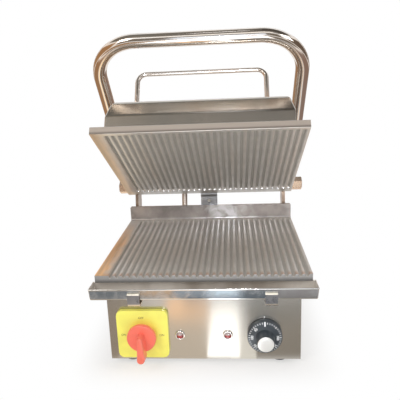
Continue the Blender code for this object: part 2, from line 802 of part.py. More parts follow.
def switch_set():
    """Yellow square plate, red handle with its stem, and the switch body behind the panel."""
    half = switch_plate_size / 2
    cut = switch_plate_corner
    outline = []
    for turn, sx, sy in ((0, 1, 1), (90, -1, 1), (180, -1, -1), (270, 1, -1)):
        outline += arc((sx * (half - cut), sy * (half - cut)), cut, turn, turn + 90, 3)
    shape = plate_of("switch_plate", outline, seat_gap, switch_plate_thickness, "Z")
    plate = put("switch_plate", shape, yellow_plastic, switch_axis)
    hole = drum("stem_hole", switch_hole_radius, -cut_overrun, switch_plate_thickness + cut_overrun)
    carve(plate, "switch_plate_hole", hole, switch_axis)

    low = switch_plate_thickness + seat_gap
    disc = [
        (0, low + switch_disc_height),
        (switch_disc_radius - sheet, low + switch_disc_height),
        (switch_disc_radius, low + switch_disc_height - sheet),
        (switch_disc_radius, low + switch_neck_height),
        (switch_neck_radius, low + switch_neck_height),
        (switch_neck_radius, low),
        (switch_stem_radius, low),
        (switch_stem_radius, -sheet - switch_stem_depth),
        (0, -sheet - switch_stem_depth),
    ]
    handle = put("switch_handle", turned("switch_handle", disc, 32), red_plastic, switch_axis, smooth=True)
    wide = switch_grip_width / 2
    grip = arc((0, switch_grip_top - wide), wide * switch_grip_taper_share, 0, 180, 6)
    grip += arc((0, -switch_grip_bottom + wide), wide, 180, 360, 6)
    bar = plate_of("switch_grip", grip, low + switch_neck_height + sheet, low + switch_grip_height - seat_gap, "Z")
    carve(handle, "switch_grip", bar, switch_axis, "UNION")

    back = -sheet - seat_gap
    side = switch_body_size / 2
    body = block("switch_body", (-side, -side, back - switch_body_depth), (side, side, back), sheet)
    body = put("switch_body", body, black_plastic, switch_axis)
    bore = drum("stem_bore", switch_hole_radius, back - switch_stem_depth - seat_gap, back + cut_overrun)
    carve(body, "switch_body_bore", bore, switch_axis)


def lamps():
    """Two pilot lamps: chromed bezel with a body through the panel, and a red lens that stands in it."""
    bore = lamp_lens_radius + seat_gap
    neck = lamp_hole_radius - seat_gap
    bezel = [
        (bore, lamp_bezel_height),
        (lamp_radius - sheet, lamp_bezel_height),
        (lamp_radius, seat_gap + sheet),
        (lamp_radius, seat_gap),
        (neck, seat_gap),
        (neck, -lamp_body_length),
        (bore, -lamp_body_length),
    ]
    dome = arc((0, lamp_lens_height - lamp_lens_radius * lamp_dome_share), lamp_lens_radius, 90, 0, 5)
    dome = [(max(radius, 0), lamp_bezel_height + (height - lamp_bezel_height) * lamp_dome_share)
            for radius, height in dome]
    dome[0] = (0, dome[0][1])
    lens = dome + [(lamp_lens_radius, -lamp_body_length / 2), (0, -lamp_body_length / 2)]
    ring_mesh = turned("lamp_bezel", bezel, 20)
    lens_mesh = turned("lamp_lens", lens, 20)
    for hand, x in lamp_xs.items():
        place = (x, panel_setback, lamp_z)
        spot = datum("lamp_spot_" + hand, place, math.pi / 2, base)
        put("lamp_bezel_" + hand, ring_mesh, chrome, spot, smooth=True)
        put("lamp_lens_" + hand, lens_mesh, red_lens, spot, smooth=True)


def thermostat():
    """Dial with its skirt, bright cap, shaft, and the thermostat body behind the panel."""
    low = 2 * seat_gap
    top = dial_grip_height
    seat = top - dial_cap_height / 2
    profile = [
        (0, seat - dial_cap_height / 2),
        (dial_cap_radius + seat_gap, seat - dial_cap_height / 2),
        (dial_cap_radius + seat_gap, top),
        (dial_grip_top_radius + seat_gap, top),
        (dial_grip_radius, low + dial_skirt_height),
        (dial_radius, low + dial_skirt_edge),
        (dial_radius, low),
        (dial_bore_radius, low),
        (dial_bore_radius, low + dial_bore_depth),
        (0, low + dial_bore_depth),
    ]
    put("thermostat_dial", turned("thermostat_dial", profile, 40), black_plastic, dial_axis, smooth=True)
    bottom = seat - dial_cap_height / 2 + seat_gap
    cap = [(0, bottom + dial_cap_height + dial_cap_dome)]
    cap += [(dial_cap_radius / 2, bottom + dial_cap_height + dial_cap_dome * dial_cap_dome_share)]
    cap += [(dial_cap_radius, bottom + dial_cap_height), (dial_cap_radius, bottom), (0, bottom)]
    put("thermostat_cap", turned("thermostat_cap", cap, 28), chrome, dial_axis, smooth=True)
    back = -sheet - seat_gap
    shaft_end = low + dial_bore_depth - seat_gap
    shaft = drum("thermostat_shaft", dial_shaft_radius, back - dial_shaft_depth, shaft_end, segments=16)
    put("thermostat_shaft", shaft, zinc_steel, dial_axis, smooth=True)
    side = thermostat_size / 2
    body = block("thermostat_body", (-side, -side, back - thermostat_depth), (side, side, back), sheet)
    body = put("thermostat_body", body, zinc_steel, dial_axis)
    bore = drum("shaft_bore", dial_bore_radius, back - dial_shaft_depth - seat_gap, back + cut_overrun, segments=16)
    carve(body, "thermostat_bore", bore, dial_axis)


def bracket_foot_y():
    """Middle of the bracket's lower part, behind the lower plate's back edge."""
    return rear_wall_y - bracket_foot_width / 2


def bracket_bolt_heights():
    low = casing_top - bracket_foot_drop + bracket_bolt_rise
    return low, low + bracket_bolt_spacing


def hinge_brackets():
    """Flat posts bolted to the casing's sides. Each rises behind the plate and rounds over the hinge."""
    foot_front = rear_wall_y - bracket_foot_width
    foot_low = casing_top - bracket_foot_drop
    neck_front = splash_rear + 3 * seat_gap
    shoulder = casing_top - seat_gap - bracket_radius
    outline = [(foot_front, foot_low), (rear_wall_y, foot_low), (rear_wall_y, shoulder)]
    outline += [(hinge_y + bracket_radius, hinge_z - 2 * bracket_radius)]
    outline += arc((hinge_y, hinge_z), bracket_radius, 0, 180, 10)
    outline += [(neck_front, hinge_z - 2 * bracket_radius), (neck_front, shoulder + bracket_radius)]
    outline += [(foot_front, shoulder)]
    for hand, sign in (("left", -1), ("right", 1)):
        low, high = sorted((sign * bracket_inner, sign * bracket_outer))
        post = plate_of("hinge_bracket_" + hand, outline, low, high, "X")
        post = put("hinge_bracket_" + hand, post, brushed_steel, base)
        bore = drum("bore", hinge_bore_radius, low - cut_overrun, high + cut_overrun, "X", 20, (hinge_y, hinge_z))
        carve(post, "bracket_bore_" + hand, bore, base)
        for row, z in enumerate(bracket_bolt_heights()):
            place = (bracket_foot_y(), z)
            hole = drum("hole", bracket_bolt_radius + seat_gap, low - cut_overrun, high + cut_overrun, "X", 16, place)
            carve(post, "bracket_hole_%s_%d" % (hand, row), hole, base)


def bracket_bolts():
    profile = [
        (0, bracket_bolt_head_height),
        (bracket_bolt_head * bolt_crown_share, bracket_bolt_head_height),
        (bracket_bolt_head, bracket_bolt_head_height * bolt_shoulder_share),
        (bracket_bolt_head, seat_gap),
        (bracket_bolt_radius, seat_gap),
        (bracket_bolt_radius, -bracket_bolt_length),
        (0, -bracket_bolt_length),
    ]
    for hand, sign in (("left", -1), ("right", 1)):
        shape = turned("bracket_bolt", profile, 14, "X")
        if sign < 0:
            shape.transform(Matrix.Rotation(math.pi, 4, "Z"))
        for row, z in enumerate(bracket_bolt_heights()):
            place = (sign * bracket_outer, bracket_foot_y(), z)
            level = ("lower", "upper")[row]
            put("bracket_bolt_%s_%s" % (hand, level), shape, zinc_steel, base, place, True)


def hinges():
    """Bolt from inside each bracket through a spacer and the handle's lug, closed by a long hexagon nut."""
    thread_end = lug_outer + cap_nut_hex
    head_face = bracket_inner - seat_gap - sheet - seat_gap
    bolt = [
        (0, thread_end),
        (hinge_bolt_radius, thread_end),
        (hinge_bolt_radius, head_face),
        (hinge_bolt_head, head_face),
        (hinge_bolt_head, head_face - hinge_bolt_head_height),
        (0, head_face - hinge_bolt_head_height),
    ]
    spacer = [
        (hinge_bore_radius, lug_inner - seat_gap),
        (hinge_spacer_radius, lug_inner - seat_gap),
        (hinge_spacer_radius, bracket_outer + seat_gap),
        (hinge_bore_radius, bracket_outer + seat_gap),
    ]
    base_x = lug_outer + seat_gap
    tip = base_x + cap_nut_length
    nut = [
        (0, tip),
        (cap_nut_face_radius, tip),
        (cap_nut_radius, tip - cap_nut_bevel),
        (cap_nut_radius, base_x),
        (hinge_bore_radius, base_x),
        (hinge_bore_radius, thread_end + seat_gap),
        (0, thread_end + seat_gap),
    ]
    for hand, sign in (("left", -1), ("right", 1)):
        place = (0, hinge_y, hinge_z)
        turn = Matrix.Rotation(math.pi, 4, "Z") if sign < 0 else Matrix.Identity(4)
        shapes = (("hinge_bolt_", bolt, 20, zinc_steel), ("hinge_spacer_", spacer, 20, zinc_steel),
                  ("hinge_cap_nut_", nut, 24, chrome))
        for name, profile, steps, material in shapes:
            shape = turned(name + hand, profile, steps, "X")
            shape.transform(turn)
            piece = put(name + hand, shape, material, base, place, True)
            if name == "hinge_cap_nut_":
                low, high = sorted((sign * (base_x - cut_overrun), sign * (tip + cut_overrun)))
                radius = cap_nut_flats / 2 / math.cos(math.pi / 6)
                hexagon = drum("hexagon", radius, low, high, "X", 6)
                carve(piece, "cap_nut_hexagon_" + hand, hexagon, base, "INTERSECT", place)


def handle():
    """U of tube: two straight legs, two large bends and the cross grip. In the arm's frame it runs along -Y."""
    bend = handle_bend
    reach = handle_reach - bend
    left = arc((-leg_x + bend, -reach), bend, 180, 270, bend_steps)
    right = arc((leg_x - bend, -reach), bend, 270, 360, bend_steps)
    path = [(-leg_x, -lug_length - seat_gap)] + left + right + [(leg_x, -lug_length - seat_gap)]
    route = [(x, y, 0) for x, y in path]
    tube = put("handle_tube", wire("handle_tube", route, tube_radius, 6), polished_steel, arm, smooth=True)
    for hand, sign in (("left", -1), ("right", 1)):
        low, high = sorted((sign * (leg_x - 2 * tube_radius), sign * (leg_x + 2 * tube_radius)))
        bore = drum("bolt_bore", pivot_bore_radius, low, high, "X", 16, (-pivot_reach, 0))
        carve(tube, "tube_bore_" + hand, bore, arm)


def handle_lugs():
    """Flat ends of the handle's legs, with the eye for the hinge bolt."""
    outline = arc((0, 0), bracket_radius, -lug_arc, lug_arc, 12)
    outline = [(-lug_length, tube_radius)] + [(y, z) for y, z in outline[::-1]] + [(-lug_length, -tube_radius)]
    for hand, sign in (("left", -1), ("right", 1)):
        low, high = sorted((sign * lug_inner, sign * lug_outer))
        lug = put("handle_lug_" + hand, plate_of("handle_lug_" + hand, outline, low, high, "X"), brushed_steel, arm)
        eye = drum("eye", hinge_bore_radius, low - cut_overrun, high + cut_overrun, "X", 20)
        carve(lug, "lug_eye_" + hand, eye, arm)


def pivot_bolts():
    """Bolts through the handle's legs and the head's ears, with a thin nut inside each ear."""
    outer = leg_x + tube_radius + seat_gap
    end = ear_inner - seat_gap - pivot_nut_height - sheet
    bolt = [
        (0, outer + pivot_head_height),
        (pivot_head_radius * bolt_crown_share, outer + pivot_head_height),
        (pivot_head_radius, outer + pivot_head_height * bolt_shoulder_share),
        (pivot_head_radius, outer),
        (pivot_bolt_radius, outer),
        (pivot_bolt_radius, end),
        (0, end),
    ]
    nut_top = ear_inner - seat_gap
    nut = [
        (pivot_bore_radius, nut_top),
        (pivot_nut_radius, nut_top),
        (pivot_nut_radius, nut_top - pivot_nut_height),
        (pivot_bore_radius, nut_top - pivot_nut_height),
    ]
    for hand, sign in (("left", -1), ("right", 1)):
        turn = Matrix.Rotation(math.pi, 4, "Z") if sign < 0 else Matrix.Identity(4)
        for name, profile in (("pivot_bolt_", bolt), ("pivot_nut_", nut)):
            shape = turned(name + hand, profile, 16, "X")
            shape.transform(turn)
            put(name + hand, shape, zinc_steel, arm, (0, -pivot_reach, 0), True)


def upper_housing():
    """Steel casing of the head: an upright band, then four leaning faces up to the flat top."""
    half = head_width / 2
    front = -(plate_depth - head_setback)
    rear = -head_setback
    foot = plate_thickness + seat_gap
    shoulder = plate_thickness + head_band
    bm = bmesh.new()
    bmesh.ops.create_cube(bm, size=1.0)
    bmesh.ops.scale(bm, vec=(2 * half, rear - front, shoulder - foot), verts=bm.verts)
    bmesh.ops.translate(bm, vec=(0, (front + rear) / 2, (foot + shoulder) / 2), verts=bm.verts)
    mouth = [face for face in bm.faces if face.normal.z < -0.5]
    bmesh.ops.delete(bm, geom=mouth, context="FACES_ONLY")
    roof = [face for face in bm.faces if face.normal.z > 0.5]
    grown = bmesh.ops.extrude_face_region(bm, geom=roof)
    bmesh.ops.delete(bm, geom=roof, context="FACES_ONLY")
    raised = [item for item in grown["geom"] if isinstance(item, bmesh.types.BMVert)]
    middle = (front + rear) / 2
    for vert in raised:
        vert.co.x -= math.copysign(head_taper, vert.co.x)
        vert.co.y -= math.copysign(head_taper, vert.co.y - middle)
        vert.co.z = head_height
    bm.normal_update()
    rounded = []
    for edge in bm.edges:
        if len(edge.link_faces) == 2:
            level = abs(edge.verts[0].co.z - edge.verts[1].co.z) < weld_distance
            if not level or edge.verts[0].co.z > head_height - weld_distance:
                rounded.append(edge)
    bmesh.ops.bevel(bm, geom=rounded, offset=head_corner, segments=2, profile=0.5, affect="EDGES",
                    clamp_overlap=True)
    outward(bm)
    cover = put("upper_housing", thickened("upper_housing", bm, sheet), brushed_steel, plate_frame)
    for hand, sign in (("left", -1), ("right", 1)):
        x = sign * (bail_width / 2)
        hole = drum("bail_hole", bail_hole_radius, head_height - cut_overrun, head_height + cut_overrun,
                    segments=16, centre=(x, -bail_from_rear))
        carve(cover, "bail_hole_" + hand, hole, plate_frame)
    entry = drum("hose_entry", hose_gland_hub + seat_gap, rear - head_taper - cut_overrun, rear + cut_overrun, "Y",
                 centre=(hose_x, hose_entry_height))
    carve(cover, "hose_entry", entry, plate_frame)


def pivot_ears():
    """Plates on the head's sides that carry it on the pivot bolts."""
    foot = plate_thickness + seat_gap
    shoulder = plate_thickness + head_band
    half = ear_foot_width / 2
    eye = (-pivot_from_rear, pivot_height)
    outline = [(eye[0] - half, foot), (eye[0] + half, foot), (eye[0] + half, shoulder)]
    outline += arc(eye, ear_radius, 0, 180, 8)
    outline += [(eye[0] - half, shoulder)]
    for hand, sign in (("left", -1), ("right", 1)):
        low, high = sorted((sign * ear_inner, sign * ear_outer))
        ear = plate_of("pivot_ear_" + hand, outline, low, high, "X")
        ear = put("pivot_ear_" + hand, ear, brushed_steel, plate_frame)
        bore = drum("bore", pivot_bore_radius, low - cut_overrun, high + cut_overrun, "X", 16, eye)
        carve(ear, "ear_bore_" + hand, bore, plate_frame)


def top_bail():
    """Thin wire bail that stands on the head's top, its ends through two holes."""
    half = bail_width / 2
    low = head_height - bail_root
    high = head_height + bail_height
    left = arc((-half + bail_bend, high - bail_bend), bail_bend, 180, 90, 4)
    right = arc((half - bail_bend, high - bail_bend), bail_bend, 90, 0, 4)
    line = [(-half, low)] + left + right + [(half, low)]
    route = [(x, -bail_from_rear, z) for x, z in line]
    put("top_bail", wire("top_bail", route, bail_radius, 2), polished_steel, plate_frame, smooth=True)


def stop_bracket():
    """Joggled strap on the deck. The head's back edge leans on it when the lid is up."""
    front = splash_rear + seat_gap
    back = front + stop_thickness
    foot_back = rear_wall_y - sheet - 2 * seat_gap
    foot_top = casing_top + seat_gap + stop_thickness
    outline = [
        (foot_back, casing_top + seat_gap),
        (foot_back, foot_top),
        (back, foot_top),
        (back, stop_joggle_low),
        (back - stop_joggle, stop_joggle_high),
        (back - stop_joggle, stop_top),
        (front - stop_joggle, stop_top),
        (front - stop_joggle, stop_joggle_high),
        (front, stop_joggle_low),
        (front, casing_top + seat_gap),
    ]
    strap = put("stop_bracket", plate_of("stop_bracket", outline, stop_left, stop_right, "X"), brushed_steel, base)
    middle = (stop_left + stop_right) / 2
    hole = drum("hole", stop_bolt_radius + seat_gap, front - cut_overrun, back + cut_overrun, "Y", 16,
                (middle, stop_bolt_z))
    carve(strap, "stop_bolt_hole", hole, base)


def stop_bolt():
    """Bolt through the stop bracket, head to the back."""
    front = splash_rear + seat_gap
    back = front + stop_thickness + seat_gap
    profile = [
        (0, stop_bolt_head_height),
        (stop_bolt_head * bolt_crown_share, stop_bolt_head_height),
        (stop_bolt_head, stop_bolt_head_height * bolt_shoulder_share),
        (stop_bolt_head, 0),
        (stop_bolt_radius, 0),
        (stop_bolt_radius, -stop_thickness - seat_gap),
        (0, -stop_thickness - seat_gap),
    ]
    shape = turned("stop_bolt", profile, 16)
    shape.transform(Matrix.Rotation(-math.pi / 2, 4, "X"))
    middle = (stop_left + stop_right) / 2
    put("stop_bolt", shape, zinc_steel, base, (middle, back, stop_bolt_z), True)


def hose_path():
    """The hose leaves its lower gland upright and enters the head's gland straight, with one smooth bend between."""
    frame = plate_frame_matrix()
    inward = (frame.to_3x3() @ Vector((0, -1, 0))).normalized()
    mouth = hose_gland_height + hose_straight
    start = Vector((hose_x, hose_y, casing_top - hose_inside))
    entry = frame @ Vector((hose_x, head_wall_y() - hose_inside, hose_entry_height))
    low = start + Vector((0, 0, mouth + hose_inside))
    high = entry - inward * (mouth + hose_inside)
    pull = (high - low).length * hose_bulge_share
    first = low + Vector((0, 0, pull))
    second = high - inward * pull
    points = [start]
    for step in range(hose_steps + 1):
        t = step / hose_steps
        points.append(low * (1 - t) ** 3 + first * 3 * t * (1 - t) ** 2 + second * 3 * t ** 2 * (1 - t) + high * t ** 3)
    return points + [entry]


def head_wall_y():
    """Place of the head's leaning rear wall at the height of the hose gland."""
    band_top = plate_thickness + head_band
    lean = head_taper * (hose_entry_height - band_top) / (head_height - band_top)
    return -head_setback - lean


def plate_frame_matrix():
    """Place of the upper plate's rear edge, in the base's frame."""
    turn = Matrix.Rotation(-head_angle, 4, "X")
    return Matrix.Translation((0, pivot_y, pivot_z)) @ turn @ Matrix.Translation((0, pivot_from_rear, -pivot_height))


def hose():
    """The wiring hose in two stretches that meet behind the hinge line, and its two glands."""
    points = hose_path()
    split = round(hose_steps * hose_split_share) + 1
    step = (points[split + 1] - points[split]).normalized() * seat_gap
    lower = points[:split + 1]
    upper = [points[split] + step] + points[split + 1:]
    put("hose_lower", wire("hose_lower", lower, hose_radius, 2), rubber, base, smooth=True)
    inverse = plate_frame_matrix().inverted()
    upper = [inverse @ point for point in upper]
    put("hose_upper", wire("hose_upper", upper, hose_radius, 2), rubber, plate_frame, smooth=True)
    profile = [
        (hose_gland_bore, hose_gland_height),
        (hose_gland_hub, hose_gland_height),
        (hose_gland_radius, hose_gland_height / 2),
        (hose_gland_radius, seat_gap),
        (hose_gland_hub, seat_gap),
        (hose_gland_hub, -sheet - seat_gap),
        (hose_gland_bore, -sheet - seat_gap),
    ]
    put("hose_gland_lower", turned("hose_gland_lower", profile, 16), black_plastic, base,
        (hose_x, hose_y, casing_top), True)


def head_gland():
    """Gland where the hose enters the head's back; it stands on the leaning wall's outer face."""
    slope = head_taper / (head_height - plate_thickness - head_band) * hose_gland_radius
    profile = [
        (hose_gland_bore, hose_gland_height),
        (hose_gland_hub, hose_gland_height),
        (hose_gland_radius, hose_gland_height / 2),
        (hose_gland_radius, seat_gap + slope),
        (hose_gland_bore, seat_gap + slope),
    ]
    shape = turned("hose_gland_upper", profile, 16)
    shape.transform(Matrix.Rotation(-math.pi / 2, 4, "X"))
    place = (hose_x, head_wall_y(), hose_entry_height)
    put("hose_gland_upper", shape, black_plastic, plate_frame, place, True)


def mains_gland():
    """Inlet gland for the mains lead, through the rear wall."""
    profile = [
        (mains_bore_radius, mains_gland_length),
        (mains_gland_tip, mains_gland_length),
        (mains_gland_radius, mains_gland_nut),
        (mains_gland_radius, seat_gap),
        (mains_hole_radius - seat_gap, seat_gap),
        (mains_hole_radius - seat_gap, -2 * sheet),
        (mains_bore_radius, -2 * sheet),
    ]
    shape = turned("mains_gland", profile, 20)
    shape.transform(Matrix.Rotation(-math.pi / 2, 4, "X"))
    put("mains_gland", shape, black_plastic, base, (mains_gland_x, rear_wall_y, mains_gland_z), True)


def terminal_block():
    """Terminal block on the floor beside the inlet, with its screw wells."""
    floor = casing_bottom + sheet + seat_gap
    low = (0, rear_wall_y - 2 * terminal_length, floor)
    high = (terminal_length, low[1] + terminal_width, floor + terminal_height)
    body = put("terminal_block", block("terminal_block", low, high, sheet), white_plastic, base)
    pitch = terminal_length / terminal_ways
    for way in range(terminal_ways):
        x = pitch * (way + 0.5)
        well = drum("well", terminal_screw_radius, floor + terminal_height / 2, floor + terminal_height + cut_overrun,
                    segments=12, centre=(x, low[1] + terminal_width / 2))
        carve(body, "terminal_well_%d" % way, well, base)


clear_scene()
grill = new_collection("sandwich_grill")
cutters = new_collection("cutters")

brushed_steel = finish("brushed_steel", (0.62, 0.60, 0.57), 0.32, 1.0)
polished_steel = finish("polished_steel", (0.72, 0.70, 0.67), 0.12, 1.0)
zinc_steel = finish("zinc_steel", (0.55, 0.55, 0.54), 0.45, 1.0)
heater_steel = finish("heater_steel", (0.20, 0.19, 0.18), 0.5, 0.8)
chrome = finish("chrome", (0.80, 0.80, 0.80), 0.08, 1.0)
cast_iron = finish("cast_iron", (0.20, 0.19, 0.18), 0.5, 0.7)
yellow_plastic = finish("yellow_plastic", (0.95, 0.83, 0.05), 0.35, 0.0)
red_plastic = finish("red_plastic", (0.85, 0.10, 0.07), 0.35, 0.0)
black_plastic = finish("black_plastic", (0.03, 0.03, 0.03), 0.45, 0.0)
white_plastic = finish("white_plastic", (0.85, 0.85, 0.82), 0.5, 0.0)
red_lens = finish("red_lens", (0.75, 0.05, 0.05), 0.1, 0.0)
rubber = finish("rubber", (0.04, 0.04, 0.04), 0.7, 0.0)

base = datum("base_datum", (0, front_edge_y, plate_top))
arm = datum("arm_axis", (0, hinge_y, hinge_z), -arm_angle, base)
head = datum("head_axis", (0, pivot_y, pivot_z), -head_angle, base)
plate_frame = datum("upper_plate_datum", (0, pivot_from_rear, -pivot_height), 0.0, head)
switch_axis = datum("switch_axis", (switch_x, panel_setback, switch_z), math.pi / 2, base)
dial_axis = datum("dial_axis", (dial_x, panel_setback, dial_z), math.pi / 2, base)

base_housing()
front_panel()
base_plate()
rear_deck()
feet()
lower_plate()
heater("lower", base, (0, 0, 0), -1)
drip_tray()
tray_clips()
switch_set()
lamps()
thermostat()
hinge_brackets()
bracket_bolts()
hinges()
handle()
handle_lugs()
pivot_bolts()
upper_housing()
upper_plate()
heater("upper", plate_frame, (0, -plate_depth, 0), 1)
pivot_ears()
top_bail()
stop_bracket()
stop_bolt()
hose()
head_gland()
mains_gland()
terminal_block()
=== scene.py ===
"""Finished look of the opened sandwich grill: fine surfaces, finishes, studio and camera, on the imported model.

Shapes are worked out in millimetres, and turned into metres where Blender takes them over.
"""
import json
import math

import bmesh
import bpy
from bpy.props import FloatProperty, FloatVectorProperty, IntProperty, PointerProperty
from mathutils import Matrix, Vector


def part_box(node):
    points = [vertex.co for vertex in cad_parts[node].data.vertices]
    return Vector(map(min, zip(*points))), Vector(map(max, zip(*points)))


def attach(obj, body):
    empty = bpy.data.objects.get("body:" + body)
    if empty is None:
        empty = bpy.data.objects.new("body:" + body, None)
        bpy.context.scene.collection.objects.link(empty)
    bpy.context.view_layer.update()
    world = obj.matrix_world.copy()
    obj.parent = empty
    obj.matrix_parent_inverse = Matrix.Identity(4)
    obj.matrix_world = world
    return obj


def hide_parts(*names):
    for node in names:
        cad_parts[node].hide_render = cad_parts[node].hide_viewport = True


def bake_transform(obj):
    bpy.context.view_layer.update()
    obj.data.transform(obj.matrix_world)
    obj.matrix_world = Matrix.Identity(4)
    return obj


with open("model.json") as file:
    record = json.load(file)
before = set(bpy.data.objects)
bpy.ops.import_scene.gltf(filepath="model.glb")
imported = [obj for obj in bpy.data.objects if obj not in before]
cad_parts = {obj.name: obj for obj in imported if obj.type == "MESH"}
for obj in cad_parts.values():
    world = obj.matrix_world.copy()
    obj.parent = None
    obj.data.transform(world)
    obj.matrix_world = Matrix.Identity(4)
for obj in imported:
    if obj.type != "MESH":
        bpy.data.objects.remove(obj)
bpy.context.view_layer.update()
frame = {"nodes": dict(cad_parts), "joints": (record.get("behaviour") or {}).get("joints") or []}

bl_info = {
    "name": "Sandwich grill finish",
    "version": (1, 0, 0),
    "blender": (4, 5, 0),
    "location": "3D View > Sidebar > Grill",
    "description": "Builds the fine surfaces, finishes and studio of a countertop sandwich grill",
    "category": "Object",
}

mm = 0.001
joint_place = {joint["name"]: Vector(joint["pos_m"]) / mm for joint in frame["joints"] if joint.get("pos_m")}
hands = (("left", -1), ("right", 1))
at = Matrix.Translation


def low(node):
    return Vector(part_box(node)[0]) / mm


def high(node):
    return Vector(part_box(node)[1]) / mm


def middle(node):
    return (low(node) + high(node)) / 2


def ends(node, sign):
    """Near and far ends of a node along X, measured from the grill's middle."""
    return sorted((sign * low(node).x, sign * high(node).x))


def turned(degrees, axis):
    return Matrix.Rotation(math.radians(degrees), 4, axis)


# Settings


class GrillPlates(bpy.types.PropertyGroup):
    """Sizes and colours of the two ribbed castings"""
    rib_count: IntProperty(name="Ribs", description="Grooves across each casting", default=30, min=2)
    rib_pitch: FloatProperty(name="Rib pitch", description="Distance from rib to rib", default=8.4 * mm, unit="LENGTH")
    rib_tip: FloatProperty(name="Rib tip", description="Flat width of a rib's tip", default=2.6 * mm, unit="LENGTH")
    rib_height: FloatProperty(name="Rib height", description="Depth of a groove", default=3.4 * mm, unit="LENGTH")
    left_margin: FloatProperty(name="Left margin", description="Flat strip left of the ribs", default=17 * mm,
                               unit="LENGTH")
    thickness: FloatProperty(name="Thickness", description="Rim thickness", default=10 * mm, unit="LENGTH")
    depth: FloatProperty(name="Depth", description="Front to rear", default=240 * mm, unit="LENGTH")
    lower_rib_end: FloatProperty(name="Lower rib end", description="Where the lower grooves run out",
                                 default=235 * mm, unit="LENGTH")
    upper_front_margin: FloatProperty(name="Upper front margin", description="Flat strip at the head's front edge",
                                      default=6 * mm, unit="LENGTH")
    upper_rear_margin: FloatProperty(name="Upper rear margin", description="Flat strip at the head's rear edge",
                                     default=15 * mm, unit="LENGTH")
    tip_colour: FloatVectorProperty(name="Rib tips", description="Worn metal of the tips", subtype="COLOR",
                                    default=(0.61, 0.585, 0.555))
    lower_grooves: FloatVectorProperty(name="Lower grooves", description="Seasoned metal in the lower grooves",
                                       subtype="COLOR", default=(0.50, 0.48, 0.45))
    upper_grooves: FloatVectorProperty(name="Upper grooves", description="Cleaner metal in the upper grooves",
                                       subtype="COLOR", default=(0.49, 0.475, 0.44))
    lower_rim: FloatVectorProperty(name="Lower rim", description="Bare metal of the lower front edge", subtype="COLOR",
                                   default=(0.36, 0.355, 0.35))
    upper_rim: FloatVectorProperty(name="Upper rim", description="Bare metal of the upper front edge", subtype="COLOR",
                                   default=(0.42, 0.365, 0.32))
    wall_colour: FloatVectorProperty(name="Splash wall", description="Browned metal of the upstand", subtype="COLOR",
                                     default=(0.47, 0.43, 0.41))
    # Straw tint at the left rim: partly heat tint, partly a painted warm reflection standing in for orange light on
    # the bare left edges
    heat_colour: FloatVectorProperty(name="Heat tint", description="Straw colour that heat leaves at the left rim",
                                     subtype="COLOR", default=(0.80, 0.48, 0.25))


class GrillSteel(bpy.types.PropertyGroup):
    """Colours and sheens of the steel parts"""
    brushed: FloatVectorProperty(name="Brushed", description="Brushed sheet", subtype="COLOR",
                                 default=(0.60, 0.575, 0.53))
    polished: FloatVectorProperty(name="Polished", description="Polished tube", subtype="COLOR",
                                  default=(0.80, 0.765, 0.725))
    # Warm cast: a warm tint in patches on the steel, partly a painted warm reflection of the room
    warm: FloatVectorProperty(name="Warm cast", description="Tint that polishing and heat leave", subtype="COLOR",
                              default=(0.80, 0.60, 0.44))
    fold: FloatProperty(name="Fold radius", description="Softened edge of folded sheet", default=0.5 * mm,
                        unit="LENGTH")


class GrillControls(bpy.types.PropertyGroup):
    """Colours and markings of the controls"""
    yellow: FloatVectorProperty(name="Switch plate", description="Yellow plate", subtype="COLOR",
                                default=(0.97, 0.95, 0.17))
    red: FloatVectorProperty(name="Switch handle", description="Red handle", subtype="COLOR",
                             default=(0.95, 0.19, 0.13))
    black: FloatVectorProperty(name="Dial", description="Black moulding", subtype="COLOR",
                               default=(0.040, 0.053, 0.067))
    first_degrees: IntProperty(name="First number", description="Lowest temperature on the dial", default=50)
    last_degrees: IntProperty(name="Last number", description="Highest temperature on the dial", default=300)
    degree_step: IntProperty(name="Step", description="Between two numbers", default=50, min=10)


class GrillStage(bpy.types.PropertyGroup):
    """Camera and studio"""
    camera_place: FloatVectorProperty(name="Camera", description="Place of the camera", subtype="TRANSLATION",
                                      default=(0.0419, -0.6986, 0.3640))
    camera_pitch: FloatProperty(name="Pitch", description="Tilt down", subtype="ANGLE", default=0.2563)
    camera_yaw: FloatProperty(name="Yaw", description="Turn to the left", subtype="ANGLE", default=0.0846)
    camera_roll: FloatProperty(name="Roll", description="Roll about the view", subtype="ANGLE", default=0.0432)
    lens: FloatProperty(name="Lens", description="Focal length in millimetres", default=45.19)
    key: FloatProperty(name="Key light", description="Power of the main softbox in watts", default=8.0)
    fill: FloatProperty(name="Fill light", description="Power of the side softbox in watts", default=5.0)
    flash: FloatProperty(name="Flash", description="Power of the small light by the camera in watts", default=0.8)
    room: FloatProperty(name="Room light", description="Strength of the even light", default=0.62)
    floor: FloatVectorProperty(name="Floor", description="Pale floor", subtype="COLOR", default=(0.96, 0.96, 0.96))


def plates():
    return bpy.context.scene.grill_plates


def steel():
    return bpy.context.scene.grill_steel


def controls():
    return bpy.context.scene.grill_controls


def studio():
    return bpy.context.scene.grill_stage


def plate(name):
    """One of the castings' lengths in millimetres."""
    return getattr(plates(), name) / mm


# Frames of the moving parts at rest

head_lean, arm_lean = 32, 51  # degrees
pivot_to_plate = (0, 80, -55)


def base_frame():
    """Front top edge of the lower casting."""
    corner = low("lower_plate")
    return at((0, corner.y, corner.z + plate("thickness")))


def head_frame():
    """Rear edge of the upper casting's ribbed face; -Y runs to its front edge and +Z into the head."""
    return at(joint_place["head_float"]) @ turned(-head_lean, "X") @ at(pivot_to_plate)


def arm_frame():
    """Hinge line; the handle's legs run along -Y."""
    return at(joint_place["lid_hinge"]) @ turned(-arm_lean, "X")


def knob_frame(joint):
    """A control's axis: +Z out of the panel, +Y up."""
    return at(joint_place[joint]) @ turned(90, "X")


def across(place, sign):
    """A bolt's frame, level with place: +Z points away from the grill's middle."""
    return at((0, place.y, place.z)) @ turned(90 * sign, "Y")


def standing(node):
    """The middle of a node's underside."""
    return at((middle(node).x, middle(node).y, low(node).z))


